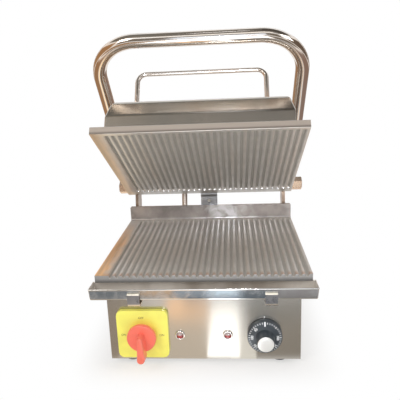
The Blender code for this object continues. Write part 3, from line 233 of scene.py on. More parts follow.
# Shader nodes


class Nodes:
    """Adds nodes to a tree. A socket that is given as a value is linked, and another value is set."""

    def __init__(self, tree):
        self.tree = tree

    def wire(self, inputs, values):
        for key, value in values.items():
            if isinstance(value, bpy.types.NodeSocket):
                self.tree.links.new(value, inputs[key])
            else:
                inputs[key].default_value = value

    def add(self, kind, values, **settings):
        made = self.tree.nodes.new("ShaderNode" + kind)
        for key, value in settings.items():
            setattr(made, key, value)
        self.wire(made.inputs, values)
        return made.outputs

    def times(self, product, *values):
        for value in values:
            product = self.add("Math", {0: product, 1: value}, operation="MULTIPLY")[0]
        return product

    def vector(self, operation, *values):
        return self.add("VectorMath", dict(enumerate(values)), operation=operation)

    def ramp(self, value, start, end, first=0.0, last=1.0, kind="LINEAR"):
        """first at start and last at end."""
        wires = {0: value, 1: start, 2: end, 3: first, 4: last}
        return self.add("MapRange", wires, interpolation_type=kind)[0]

    def blend(self, share, first, last):
        return self.ramp(share, 0.0, 1.0, first, last)

    def noise(self, place, scale, **values):
        return self.add("TexNoise", {"Vector": place, "Scale": scale, **values})["Fac"]

    def mix(self, share, first, second):
        """One colour or another."""
        pair = [tone if isinstance(tone, bpy.types.NodeSocket) else (*tone, 1) for tone in (first, second)]
        return self.add("Mix", {0: share, 6: pair[0], 7: pair[1]}, data_type="RGBA")[2]

    def mix_shaders(self, share, first, second):
        return self.add("MixShader", {0: share, 1: first, 2: second})[0]

    def glow(self, tone):
        return self.add("Emission", {"Color": (*tone, 1), "Strength": 1.0})[0]

    def seen(self):
        """1 for rays from the camera, from gloss and through glass."""
        path = self.add("LightPath", {})
        seen = path["Is Camera Ray"]
        for ray in ("Is Glossy Ray", "Is Transmission Ray"):
            seen = self.add("Math", {0: seen, 1: path[ray]}, operation="MAXIMUM")[0]
        return seen


def effect(name, inputs, outputs):
    """An empty node group with named sockets."""
    group = bpy.data.node_groups.new(name, "ShaderNodeTree")
    for way, sockets in (("INPUT", inputs), ("OUTPUT", outputs)):
        for socket in sockets:
            kind = "NodeSocketVector" if socket in ("Vector", "Stretch", "Axis") else "NodeSocketFloat"
            group.interface.new_socket(name=socket, in_out=way, socket_type=kind)
    return Nodes(group), group.nodes.new("NodeGroupInput").outputs, group.nodes.new("NodeGroupOutput").inputs


def brushed_lines():
    """Fine parallel lines: noise drawn out along one axis."""
    nodes, given, out = effect("Brushed lines", ("Vector", "Stretch", "Density"), ("Lines",))
    drawn = nodes.vector("MULTIPLY", given["Vector"], given["Stretch"])[0]
    nodes.wire(out, {"Lines": nodes.noise(drawn, given["Density"], Detail=4.0, Roughness=0.65)})


def smears():
    """Soft marks of wiping and handling."""
    nodes, given, out = effect("Smears", ("Vector", "Scale", "From", "To"), ("Mask",))
    clouds = nodes.noise(given["Vector"], given["Scale"], Detail=5.0, Distortion=0.8)
    nodes.wire(out, {"Mask": nodes.ramp(clouds, given["From"], given["To"])})


def depth_mask():
    """0 at one level of an axis and 1 at another."""
    nodes, given, out = effect("Depth mask", ("Vector", "Axis", "Start", "End"), ("Mask",))
    along = nodes.vector("DOT_PRODUCT", given["Vector"], given["Axis"])["Value"]
    nodes.wire(out, {"Mask": nodes.ramp(along, given["Start"], given["End"])})


def cast_skin():
    """Grain of sand casting with a few pits."""
    nodes, given, out = effect("Cast skin", ("Vector", "Scale"), ("Grain", "Cloud"))
    place, scale = given["Vector"], given["Scale"]
    pits = nodes.ramp(nodes.add("TexVoronoi", {"Vector": place, "Scale": scale})["Distance"], 0.0, 0.35)
    fine = nodes.noise(place, scale, Detail=6.0, Roughness=0.7)
    clouds = nodes.noise(place, nodes.times(scale, 0.04), Detail=4.0)
    nodes.wire(out, {"Grain": nodes.times(fine, pits), "Cloud": clouds})


def moulded_grain():
    """Very fine texture of moulded plastic or rubber."""
    nodes, given, out = effect("Moulded grain", ("Vector", "Scale"), ("Grain",))
    nodes.wire(out, {"Grain": nodes.noise(given["Vector"], given["Scale"], Detail=2.0)})


# Finishes

finishes = {}
axes = {"x": (1, 0, 0), "y": (0, 1, 0), "z": (0, 0, 1)}


class Finish(Nodes):
    """A new material with a Principled shader, on the object's own coordinates."""

    def __init__(self, name):
        finishes[name] = bpy.data.materials.new(name)
        finishes[name].use_nodes = True
        super().__init__(finishes[name].node_tree)
        self.place = self.add("TexCoord", {})["Object"]

    def use(self, name, **values):
        """One of the shared effects, with this material's values."""
        return self.add("Group", {"Vector": self.place, **values}, node_tree=bpy.data.node_groups[name])

    def lines(self, *stretch):
        return self.use("Brushed lines", Stretch=stretch, Density=1.0)["Lines"]

    def marks(self, scale, start, end):
        return self.use("Smears", Scale=scale, From=start, To=end)["Mask"]

    def level(self, axis, start, end):
        """0 at start and 1 at end, which are levels in millimetres."""
        return self.use("Depth mask", Axis=axes[axis], Start=start * mm, End=end * mm)["Mask"]

    def grain(self, scale):
        return self.use("Moulded grain", Scale=scale)["Grain"]

    def surface(self, tone, gloss, metal, relief=None, **more):
        """Sets the shader; relief is a height, its strength and its size in millimetres."""
        values = {"Base Color": tone, "Roughness": gloss, "Metallic": metal}
        values.update((key.replace("_", " "), value) for key, value in more.items())
        if relief:
            height, strength, size = relief
            bump = {"Height": height, "Strength": strength, "Distance": size * mm}
            values["Normal"] = self.add("Bump", bump)[0]
        self.wire(self.tree.nodes["Principled BSDF"].inputs, values)


def shade(tone, share):
    return tuple(value * share for value in tone)


def towards(tone, other, share):
    return tuple(first + (second - first) * share for first, second in zip(tone, other))


def brushed_sheet(name, stretch, roughness=(0.24, 0.36), warmth=0.45, spread=0.6):
    """Brushed stainless sheet; stretch is small along the grain, and spread blurs reflections across it."""
    made, brushed = Finish(name), steel().brushed
    lines, marks = made.lines(*stretch), made.marks(9.0, 0.35, 0.75)
    # Warm patches, partly a painted warm reflection
    tint = made.mix(marks, brushed, towards(brushed, steel().warm, warmth))
    tone = made.mix(lines, shade(brushed, 0.86), tint)
    gloss = made.blend(made.times(lines, marks), *roughness)
    made.surface(tone, gloss, 1.0, (lines, 0.10, 0.05), Anisotropic=spread, Anisotropic_Rotation=0.25)


def polished_metal(name, tint, roughness, warmth, scale, metal=1.0, brightened_from=None):
    """Polished metal with a warm cast in patches, partly a painted warm reflection, and a little handling haze;
    brightened_from is the level along Y behind which the channel's shaded inside is painted paler and duller, as
    painted light."""
    made = Finish(name)
    cast, haze = made.marks(scale, 0.38, 0.68), made.marks(scale * 7, 0.45, 0.80)
    # Warm patches, partly a painted warm reflection
    tone = made.mix(cast, tint, towards(tint, steel().warm, warmth))
    gloss = made.blend(haze, roughness, roughness + 0.10)
    if brightened_from is not None:
        # Painted light: behind this level the shaded inside is paler and duller, in patches
        brightened = made.level("y", brightened_from, brightened_from + 0.4)
        tone = made.mix(brightened, tone, made.mix(cast, (0.46, 0.41, 0.36), (0.80, 0.76, 0.71)))
        gloss, metal = made.blend(brightened, gloss, 0.34), made.blend(brightened, metal, 0.25)
    made.surface(tone, gloss, metal, (made.grain(900.0), 0.03, 0.05))


def clip_metal():
    """Bent strap: a painted highlight on the lip at the top and a painted reflection of the pale floor on the foot,
    under a grey face.
    """
    made = Finish("clip_steel")
    top, bottom = high("tray_clip_left").z, low("tray_clip_left").z
    # Painted highlight on the near-white, barely metallic lip; painted reflection of the pale floor on the foot
    lip, foot = made.level("z", top - 2.1, top - 1.7), made.level("z", bottom + 4.2, bottom + 3.0)
    marks = made.marks(90.0, 0.35, 0.7)
    tone = made.mix(foot, made.mix(marks, (0.26, 0.26, 0.27), (0.36, 0.35, 0.36)), (0.84, 0.77, 0.70))
    tone = made.mix(lip, tone, (0.97, 0.92, 0.80))
    gloss, metal = made.blend(marks, 0.26, 0.36), made.blend(lip, 0.95, 0.15)
    made.surface(tone, gloss, metal, (made.grain(900.0), 0.03, 0.05))


# Levels in millimetres between which tints of the lower casting set in: the heat tint and painted warm sheen fade
# towards the rear, the rib ends brown at the front, and a painted highlight lies on the splash wall's middle
warm_tint_fade, browned_front, glint_left, glint_right = (225, 120), (11, 2), (-30, 5), (80, 45)


def cast_metal(name, side, grooves, front, front_tone):
    """Cast plate: worn, shining rib tips over dark seasoned grooves, with heat tint and painted warm sheen at the left
    rim, painted highlights on the splash wall's middle and at the upper groove ends, and a front face that grows
    darker towards its lower edge; side is 1 for the lower plate and -1 for the upper one, and front is the level of
    the front face."""
    made, is_lower, heat = Finish(name), side > 0, plates().heat_colour
    skin, streaks = made.use("Cast skin", Scale=1400.0), made.lines(150.0, 5.0, 5.0)
    clouds = skin["Cloud"]
    deep = made.level("z", 0.0, -side * plate("rib_height"))
    tall = made.level("z", side * 0.3, side * 1.5)

    tips = made.mix(clouds, shade(plates().tip_colour, 0.8), shade(plates().tip_colour, 1.15))
    # A faint streaky straw over all tips, in the heat tint and painted warm sheen colour
    tips = made.mix(made.ramp(streaks, 0.45, 0.75, 0.0, 0.16), tips, heat)
    stains = made.ramp(clouds, 0.35, 0.65, 0.75, 1.25)
    wall = made.add("VectorMath", {0: tuple(plates().wall_colour), "Scale": stains}, operation="SCALE")[0]
    tips = made.mix(tall, tips, wall)

    edge, margin = -high("lower_plate").x, plate("left_margin")
    rim = made.level("x", edge + margin * 1.15, edge + margin * 0.2)
    # Heat tint and painted warm sheen: straw streaks on the left margin, weaker up the wall, fading towards the lower
    # casting's rear and faint on the upper one
    heat_tint_and_sheen = made.times(made.ramp(made.times(rim, clouds), 0.0, 0.35), made.blend(tall, 1.0, 0.35))
    if is_lower:
        heat_tint_and_sheen = made.times(heat_tint_and_sheen, made.level("y", *warm_tint_fade))
        browned_ends = made.times(made.level("y", *browned_front), 0.75)
        tips = made.mix(browned_ends, tips, (0.50, 0.33, 0.24))
        # Painted highlight: near-white patches on the middle of the splash wall, where the flash glints
        glint_zone = made.times(made.level("x", *glint_left), made.level("x", *glint_right), tall)
        tips = made.mix(made.times(glint_zone, made.marks(60.0, 0.38, 0.60)), tips, (0.96, 0.96, 0.98))
    else:
        heat_tint_and_sheen = made.times(heat_tint_and_sheen, 0.30)
        tips = made.mix(rim, tips, (0.29, 0.25, 0.215))
    bands = made.ramp(streaks, 0.35, 0.62, 0.62, 1.15)
    straw_and_sheen = made.add("VectorMath", {0: tuple(heat), "Scale": bands}, operation="SCALE")[0]
    tips = made.mix(heat_tint_and_sheen, tips, straw_and_sheen)

    bare = made.level("y", front + 0.5, front + 0.1)
    # The front face grows darker towards its lower edge
    darker_below = made.level("z", *((-4, -8) if is_lower else (4, 1.5)))
    tone = made.mix(bare, made.mix(deep, tips, grooves), made.mix(darker_below, front_tone, shade(front_tone, 0.5)))
    shine, shine_gloss, shine_metal = tall, 0.20, 0.70
    # Painted highlight: on the upper casting the groove ends are near-white, glossier metal, so their glints show as
    # white dots
    if not is_lower:
        last = -plate("upper_rear_margin") - 3.2
        groove_ends = made.level("y", last - 1.0, last)
        shine, shine_gloss, shine_metal = made.times(groove_ends, made.ramp(deep, 0.02, 0.20)), 0.14, 0.90
        tone = made.mix(shine, tone, (0.95, 0.95, 0.95))
    gloss = made.blend(shine, made.blend(deep, 0.30, 0.50), shine_gloss)
    metal = made.blend(shine, made.blend(deep, 0.45, 0.25), shine_metal)
    made.surface(tone, gloss, metal, (skin["Grain"], 0.35, 0.08))


def moulding(name, tint, roughness, coat=0.0, scale=1800.0):
    """Moulded plastic: fine grain, slight clouding of the colour."""
    made = Finish(name)
    marks = made.marks(40.0, 0.4, 0.8)
    tone, gloss = made.mix(marks, tint, shade(tint, 0.88)), made.blend(marks, roughness, roughness + 0.12)
    made.surface(tone, gloss, 0.0, (made.grain(scale), 0.12, 0.03), Coat_Weight=coat, Coat_Roughness=0.12)


def lamp_lens():
    """Red cap whose upper part is painted pale pink, a painted reflection of the bright light on its top; the red is
    deeper towards the panel.
    """
    made = Finish("red_lens")
    red = made.mix(made.level("z", 0, 5), (0.30, 0.01, 0.01), (0.72, 0.035, 0.045))
    # Painted highlight: the cap's upper part is pale pink, standing in for the bright reflection on its top
    tone = made.mix(made.level("y", 0.4, 1.6), red, (0.80, 0.66, 0.66))
    made.surface(tone, 0.08, 0.0, (made.grain(700.0), 0.10, 0.05), Coat_Weight=1.0, Transmission_Weight=0.35)


def heater_skin():
    """Tubular element, blued and grey from heat."""
    made = Finish("heater_skin")
    marks = made.marks(30.0, 0.3, 0.7)
    made.surface(made.mix(marks, (0.10, 0.09, 0.10), (0.24, 0.20, 0.17)), made.blend(marks, 0.42, 0.6), 0.8)


def hose_sleeve():
    """Bright wound sleeve: a fine helix along the hose."""
    made = Finish("hose_sleeve")
    lines = made.lines(60.0, 60.0, 1500.0)
    tone, gloss = made.mix(lines, (0.50, 0.43, 0.38), (0.85, 0.78, 0.72)), made.blend(lines, 0.22, 0.38)
    made.surface(tone, gloss, 0.9, (lines, 0.3, 0.1))


class GRILL_OT_finishes(bpy.types.Operator):
    """Make the shader groups and the finishes"""
    bl_idname = "grill.finishes"
    bl_label = "Finishes"

    def execute(self, context):
        for build in (brushed_lines, smears, depth_mask, cast_skin, moulded_grain):
            build()
        along_x, along_y, even = (14.0, 2600.0, 2600.0), (2600.0, 14.0, 2600.0), (900.0, 900.0, 900.0)
        brushed_sheet("panel_sheet", along_x, (0.20, 0.30), 0.10, 0.7)
        brushed_sheet("sheet_along_x", along_x)
        brushed_sheet("sheet_along_y", along_y)
        brushed_sheet("sheet_head", along_x, (0.18, 0.28), 0.25, 0.35)
        brushed_sheet("plated", even, (0.34, 0.50), 0.15)
        for name, tint, roughness, warmth, scale in (
                ("tube_polish", steel().polished, 0.09, 0.55, 9.0),
                ("bracket_steel", (0.34, 0.35, 0.37), 0.28, 0.10, 30.0),
                ("wire_polish", (0.97, 0.92, 0.88), 0.12, 0.30, 9.0),
                # Dark brown steel of the hinge brackets, which stand in the gap between base and head
                ("dark_brown_steel", (0.27, 0.20, 0.155), 0.32, 0.40, 20.0),
                ("nut_steel", (0.58, 0.44, 0.34), 0.26, 0.60, 25.0),
                ("chrome", (0.80, 0.79, 0.78), 0.06, 0.15, 60.0)):
            polished_metal(name, tint, roughness, warmth, scale)
        polished_metal("satin_cap", (0.93, 0.94, 0.93), 0.30, 0.0, 60.0, 0.35)
        inner_wall = (low("drip_tray").y - high("drip_tray").y) / 2 + 1.0
        polished_metal("tray_polish", (0.76, 0.76, 0.75), 0.11, 0.0, 14.0, brightened_from=inner_wall)
        clip_metal()
        cast_metal("cast_lower", 1, plates().lower_grooves, 0.0, plates().lower_rim)
        cast_metal("cast_upper", -1, plates().upper_grooves, -plate("depth"), plates().upper_rim)
        moulding("yellow_moulding", controls().yellow, 0.30, 0.25)
        moulding("red_moulding", controls().red, 0.28, 0.35)
        moulding("black_moulding", controls().black, 0.36, 0.15)
        moulding("white_print", (0.95, 0.97, 1.0), 0.45)
        moulding("black_print", (0.03, 0.03, 0.03), 0.5)
        moulding("white_moulding", (0.80, 0.79, 0.74), 0.5)
        moulding("rubber", (0.028, 0.028, 0.03), 0.68, scale=900.0)
        lamp_lens()
        heater_skin()
        hose_sleeve()
        return {"FINISHED"}


# Building fine pieces


def linked(name, data):
    made = bpy.data.objects.new(name, data)
    bpy.context.scene.collection.objects.link(made)
    return made


def mesh_object(name, bm, sharp=None):
    """An object of the mesh, smooth but for edges sharper than an angle in degrees."""
    if sharp is not None:
        bmesh.ops.recalc_face_normals(bm, faces=bm.faces)
    mesh = bpy.data.meshes.new(name)
    bm.to_mesh(mesh)
    bm.free()
    if sharp is not None:
        mesh.shade_smooth()
        mesh.set_sharp_from_angle(angle=math.radians(sharp))
    return linked(name, mesh)


def piece(name, bm, place, finish, body, nodes=(), sharp=35.0):
    """A finished mesh in its place, riding on its body and standing for CAD nodes."""
    bmesh.ops.scale(bm, vec=(mm, mm, mm), verts=bm.verts)
    return settle(mesh_object(name, bm, sharp), place, finish, body, nodes)


def fastener(name, bm, place, body, *nodes):
    return piece(name, bm, place, "plated", body, nodes)


def settle(made, place, finish, body, nodes=()):
    """Gives an object its finish, place and body, and hides the CAD nodes it stands for."""
    made.data.materials.append(finishes[finish])
    made.matrix_world = at(place.translation * mm) @ place.to_3x3().to_4x4()
    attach(made, body)
    if nodes:
        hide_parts(*nodes)
    return made


def lathe(profile, steps=48, bm=None, place=Matrix()):
    """Turns (radius, height) points about Z into a solid, or into a ring if no point is on the axis."""
    bm = bm or bmesh.new()
    rings = []
    for radius, height in profile:
        turns = [2 * math.pi * step / steps for step in range(steps if radius > 0 else 1)]
        rings.append([bm.verts.new(place @ Vector((radius * math.cos(turn), radius * math.sin(turn), height)))
                      for turn in turns])
    if all(len(ring) > 1 for ring in rings):
        rings.append(rings[0])
    for first, second in zip(rings, rings[1:]):
        for step in range(steps):
            here, there = ([ring[turn % steps % len(ring)] for turn in (step, step + 1)] for ring in (first, second))
            corners = list(dict.fromkeys((here[0], *there, here[1])))
            if len(corners) > 2:
                bm.faces.new(corners)
    return bm


def stack(rings, bm=None, cap_low=True):
    """Skins a stack of closed rings with the same number of points."""
    bm = bm or bmesh.new()
    layers = [[bm.verts.new(point) for point in ring] for ring in rings]
    for first, second in zip(layers, layers[1:]):
        for index in range(len(first)):
            after = (index + 1) % len(first)
            bm.faces.new((first[index], first[after], second[after], second[index]))
    if cap_low:
        bm.faces.new(layers[0][::-1])
    bm.faces.new(layers[-1])
    return bm


def hexagon(flats, bottom, top, chamfer, bm=None):
    """A hexagonal prism with its corners chamfered."""
    radius = flats / 2 / math.cos(math.pi / 6)
    levels = ((bottom, radius - chamfer), (bottom + chamfer * 0.5, radius), (top - chamfer * 0.5, radius),
              (top, radius - chamfer))
    return stack([lift(round_corner((0, 0), size, 0, 300, 5), height) for height, size in levels], bm)


def lift(ring, height):
    return [(x, y, height) for x, y in ring]


def round_corner(centre, radius, start, end, steps):
    """Points of an arc between two angles in degrees."""
    turns = [math.radians(start + (end - start) * step / steps) for step in range(steps + 1)]
    return [(centre[0] + radius * math.cos(turn), centre[1] + radius * math.sin(turn)) for turn in turns]


def rounded_rectangle(half, front, back, radius, height, steps):
    """A ring; a point just outside each corner keeps the shading of the flat sides flat."""
    ring, hold, x = [], 0.3, half - radius
    for centre, start in (((x, back - radius), 0), ((-x, back - radius), 90), ((-x, front + radius), 180),
                          ((x, front + radius), 270)):
        corner = round_corner(centre, radius, start, start + 90, steps)
        along = Vector((-math.sin(math.radians(start)), math.cos(math.radians(start)))) * hold
        ring.append(Vector(corner[0]) - along)
        ring += corner
        ring.append(Vector(corner[-1]) + Vector((-along.y, along.x)))
    return lift(ring, height)


def mirrored(side, crown):
    """A path from its left side, its middle point and the mirror image of the side."""
    return side + [crown] + [(-x, other) for x, other in reversed(side)]


def polyline(name, points, radius):
    """A smooth round tube along points, as a curve."""
    curve = bpy.data.curves.new(name, "CURVE")
    curve.dimensions = "3D"
    curve.bevel_depth = radius * mm
    curve.bevel_resolution = 8
    curve.use_fill_caps = True
    spline = curve.splines.new("POLY")
    spline.points.add(len(points) - 1)
    for point, place in zip(spline.points, points):
        point.co = (*(Vector(place) * mm), 1)
    spline.use_smooth = True
    return linked(name, curve)


def number(name, text, size, place, finish, body, weight=0.0):
    """A printed number or word, a few hundredths of a millimetre thick; weight makes it bolder."""
    curve = bpy.data.curves.new(name, "FONT")
    curve.body = text
    curve.size = size * mm
    curve.align_x = "CENTER"
    curve.align_y = "CENTER"
    curve.extrude = 0.03 * mm
    curve.offset = weight * mm
    curve.resolution_u = 4
    return settle(linked(name, curve), place, finish, body)


def soften(node, finish, width=None):
    """Keeps a CAD node, with its edges eased and its finish set."""
    made = frame["nodes"][node]
    bevel = made.modifiers.new("eased edges", "BEVEL")
    bevel.width = steel().fold if width is None else width * mm
    bevel.segments = 2
    bevel.limit_method = "ANGLE"
    bevel.angle_limit = math.radians(40)
    bevel.harden_normals = False
    made.data.materials.clear()
    made.data.materials.append(finishes[finish])


# Ribbed castings

recess_margin, recess_depth = 18, 3


def groove_columns():
    """Places across the casting, each with its share of the groove depth and whether the recess reaches it."""
    half, pitch, left = high("lower_plate").x, plate("rib_pitch"), plate("left_margin")
    wide = pitch - plate("rib_tip")
    shape = [(-0.045, 0.0), (0.03, 0.04), (0.085, 0.15), (0.24, 0.80), (0.30, 0.94), (0.385, 1.0), (0.5, 1.0)]
    shape += [(1 - x, share) for x, share in shape[-2::-1]]
    columns = [(-half, 0.0), (recess_margin - half, 0.0), (half, 0.0)]
    columns += [(left - half + rib * pitch + x * wide, share) for rib in range(plates().rib_count)
                for x, share in shape]
    return [(x, share, abs(x) < half - recess_margin) for x, share in sorted(columns)]


def casting(rows, side, clip=math.inf, half=0.0):
    """Skins the casting: each row is (y, z, groove share, recess share) round its cross-section. Above the level
    clip, its ends slope inward from half its width."""
    bm, columns, rib_height = bmesh.new(), groove_columns(), plate("rib_height")
    grid = []
    for row in rows:
        y, z, groove, recess = (*row, 0, 0)[:4]
        line = []
        for x, share, inner in columns:
            if z > clip:
                limit = half - (z - clip)
                x = max(-limit, min(limit, x))
            level = z - groove * share * rib_height + recess * inner * recess_depth
            line.append(bm.verts.new((x, y, side * level)))
        grid.append(line)
    for first, second in zip(grid, grid[1:] + grid[:1]):
        for column in range(len(first) - 1):
            bm.faces.new((first[column], first[column + 1], second[column + 1], second[column]))
    for end in (0, -1):
        ring = [(line[end], row[1]) for line, row in zip(grid, rows)]
        for part in ([vert for vert, z in ring if z >= clip], [vert for vert, z in ring if z <= clip]):
            if part:
                bm.faces.new(part)
    touching = 0.002
    bmesh.ops.remove_doubles(bm, verts=bm.verts, dist=touching)
    bmesh.ops.dissolve_degenerate(bm, edges=bm.edges, dist=touching)
    return bm


class GRILL_OT_castings(bpy.types.Operator):
    """Build the two ribbed castings with rounded ribs"""
    bl_idname = "grill.castings"
    bl_label = "Ribbed castings"

    def execute(self, context):
        deep, thick, inset = plate("depth"), plate("thickness"), recess_margin
        edge, hold = 0.8, 0.3
        foot = [(0, edge - thick), (0, edge - thick + hold)]
        underside = [(deep - inset, -thick), (deep - inset, -thick, 0, 1), (inset, -thick, 0, 1),
                     (inset, -thick), (edge, -thick)]

        size = high("lower_plate") - low("lower_plate")
        back, tall, end = size.y, size.z - thick, plate("lower_rib_end")
        gauge, sloped, fillet = 4, 2, 3
        wall, clip = back - gauge, tall - sloped
        rows = foot + [(0, -2.2 * edge - hold, 1), (0, -2.2 * edge, 1), (0.25 * edge, -0.45 * edge, 1), (edge, 0, 1)]
        rows += [(edge + share * (end - 6 - edge), 0, 1) for share in (0.25, 0.5, 0.75, 1.0)]
        rows += [(end - 3.5, 0, 0.93), (end - 1.2, 0, 0.6), (end + 0.6, 0)]
        rows += round_corner((wall - fillet, fillet), fillet, 270, 360, 5)
        rows += [(wall, fillet + hold), (wall, clip), (wall, tall - edge), (wall + edge, tall), (back - edge, tall),
                 (back, tall - edge), (back, clip), (back, edge - thick), (back - edge, -thick)]
        bm = casting(rows + underside, 1, clip, size.x / 2)
        piece("lower_casting", bm, base_frame(), "cast_lower", "base", ["lower_plate"])

        front, rear = plate("upper_front_margin"), deep - plate("upper_rear_margin")
        slope = [(0.0, 0.0), (0.12, 0.26), (0.46, 0.50), (1.0, 0.71), (1.7, 0.87), (2.5, 0.97), (3.4, 1.0)]
        rows = foot + [(0, -edge - hold), (0, -edge), (edge, 0), (edge + hold, 0)]
        rows += [(front + step, 0, share) for step, share in slope]
        rows += [(front + (rear - front) * share, 0, 1) for share in (0.3, 0.5, 0.7)]
        rows += [(rear - step, 0, share) for step, share in reversed(slope)]
        rows += [(deep - edge, 0), (deep, -edge), (deep, edge - thick), (deep - edge, -thick)]
        bm = casting([(row[0] - deep, *row[1:]) for row in rows + underside], -1)
        piece("upper_casting", bm, head_frame(), "cast_upper", "upper_head", ["upper_plate"])
        return {"FINISHED"}


# Base casing

kept_nodes = {
    "panel_sheet": "front_panel",
    "sheet_along_x": "rear_deck",
    "sheet_along_y": "base_housing handle_lug_left handle_lug_right pivot_ear_left pivot_ear_right",
    "plated": "base_plate lower_heat_shield upper_heat_shield thermostat_body thermostat_shaft",
    "bracket_steel": "stop_bracket",
    "dark_brown_steel": "hinge_bracket_left hinge_bracket_right",
    "clip_steel": "tray_clip_left tray_clip_right",
    "white_moulding": "terminal_block",
    "black_moulding": "switch_body",
}


class GRILL_OT_casing(bpy.types.Operator):
    """Finish the folded sheets of the base, its cover, feet and inner parts"""
    bl_idname = "grill.casing"
    bl_label = "Casing"

    def execute(self, context):
        for finish, nodes in kept_nodes.items():
            for node in nodes.split():
                soften(node, finish)
        for node in ("lower_element", "upper_element"):
            soften(node, "heater_skin", 0.1)
        for corner in ("front_left", "front_right", "rear_left", "rear_right"):
            foot(corner)
        channel()
        return {"FINISHED"}


def channel():
    """The drip channel: upright front, ends that lean in, soft bends and a rolled lip."""
    size, end_lean = high("drip_tray") - low("drip_tray"), 1.2
    half, reach, tall = size.x / 2, size.y / 2, size.z
    levels = [(2.1, 0.0), (1.8, 0.0), (0.8, 0.3), (0.3, 1.6), (0.3, 1.9), (0.3, tall - 2.2), (0.3, tall - 1.9),
              (0.05, tall - 1.6), (0.0, tall - 1.0), (0.2, tall - 0.3), (0.75, tall), (1.3, tall - 0.3),
              (1.5, tall - 1.0), (1.4, tall - 1.7), (1.3, tall - 2.2), (1.3, 3.1), (1.3, 2.8), (1.8, 1.4),
              (2.9, 1.0), (3.2, 1.0)]
    rings = [rounded_rectangle(half - inset - (1 - height / tall) * end_lean, inset - reach, reach - inset, 1,
                               height, 4) for inset, height in levels]
    piece("drip_channel", stack(rings), standing("drip_tray"), "tray_polish", "drip_drawer",
          ["drip_tray"], 50)


def foot(corner):
    node = "foot_" + corner
    size, edge = high(node) - low(node), 1.2
    radius, tall = size.x / 2, size.z
    profile = [(0, tall), (radius * 0.8, tall), (radius * 0.82, tall - edge / 2), (radius, edge * 1.4),
               (radius - edge * 0.25, edge * 0.5), (radius - edge, 0), (radius * 0.42, 0), (radius * 0.38, edge),
               (radius * 0.3, edge * 3), (0, edge * 3)]
    piece("rubber_foot_" + corner, lathe(profile), standing(node), "rubber", "base", [node])


# Controls


class GRILL_OT_switch(bpy.types.Operator):
    """Build the rotary switch: plate, marks and red handle"""
    bl_idname = "grill.switch"
    bl_label = "Rotary switch"

    def execute(self, context):
        soften("switch_plate", "yellow_moulding", 0.9)
        axis, panel = knob_frame("switch_turn"), joint_place["switch_turn"].y
        face, out = panel - low("switch_plate").y, panel - low("switch_handle").y
        wide = (high("switch_handle").x - low("switch_handle").x) / 2
        under, skirt, disc, spindle = face + 0.3, face + 6.8, face + 12.3, 15.2
        profile = [(0, disc - 0.2), (wide * 0.7, disc), *round_corner((wide - 1.6, disc - 1.6), 1.6, 90, 0, 5),
                   (wide, skirt + 0.5), (wide - 0.5, skirt), (13.6, skirt), (13, skirt - 0.6), (13, under),
                   (5, under), (5, -spindle), (0, -spindle)]
        upward, downward, broad, narrow = 11, 28.3, 5.7, 3.6
        rings = []
        for height, inset in ((disc - 1.5, 0), (disc + 0.4, 0.15), (out - 3.0, 0.7), (out - 1.2, 1.1),
                              (out - 0.35, 1.8), (out, 2.9)):
            narrow_end = round_corner((0, upward - broad), narrow - inset * 0.8, 0, 180, 14)
            wide_end = round_corner((0, broad - downward), broad - inset, 180, 360, 14)
            rings.append(lift(narrow_end + wide_end, height))
        piece("red_switch_grip", stack(rings, lathe(profile, 72)), axis, "red_moulding", "switch_knob",
              ["switch_handle"], 42)
        for name, text, x, y in (("off", "OFF", -1.0, 22.6), ("on_left", "ON", -24.4, -0.8),
                                 ("on_right", "ON", 24.2, -1.4)):
            place = axis @ at((x, y, face))
            number("switch_mark_" + name, text, 4.0, place, "black_print", "base")
        return {"FINISHED"}


class GRILL_OT_lamps(bpy.types.Operator):
    """Build the two pilot lamps"""
    bl_idname = "grill.lamps"
    bl_label = "Pilot lamps"

    def execute(self, context):
        panel, bore, barrel = joint_place["switch_turn"].y, 3.9, -24
        lens, lens_rise, lens_end = 3.6, 2.6, -12
        for hand, sign in hands:
            bezel, cap = "lamp_bezel_" + hand, "lamp_lens_" + hand
            axis = at((middle(bezel).x, panel, middle(bezel).z)) @ turned(90, "X")
            radius, tall = (high(bezel).x - low(bezel).x) / 2, panel - low(bezel).y
            profile = [(bore, tall * 0.55), (bore + 0.35, tall * 0.86), (bore + 0.9, tall),
                       *round_corner((radius - 1.1, tall - 1.1), 1.1, 80, 0, 4), (radius, 0.5),
                       (radius - 0.2, 0.3), (4.5, 0.3), (4.5, barrel), (bore, barrel)]
            piece("chrome_bezel_" + hand, lathe(profile, 64), axis, "chrome", "base", [bezel])
            peak, turns = panel - low(cap).y, [math.radians(9 * step) for step in range(1, 11)]
            dome = [(lens * math.sin(turn), peak - lens_rise * (1 - math.cos(turn))) for turn in turns]
            profile = [(0, peak), *dome, (lens, lens_end), (0, lens_end)]
            piece("red_lens_" + hand, lathe(profile), axis, "red_lens", "base", [cap])
        return {"FINISHED"}


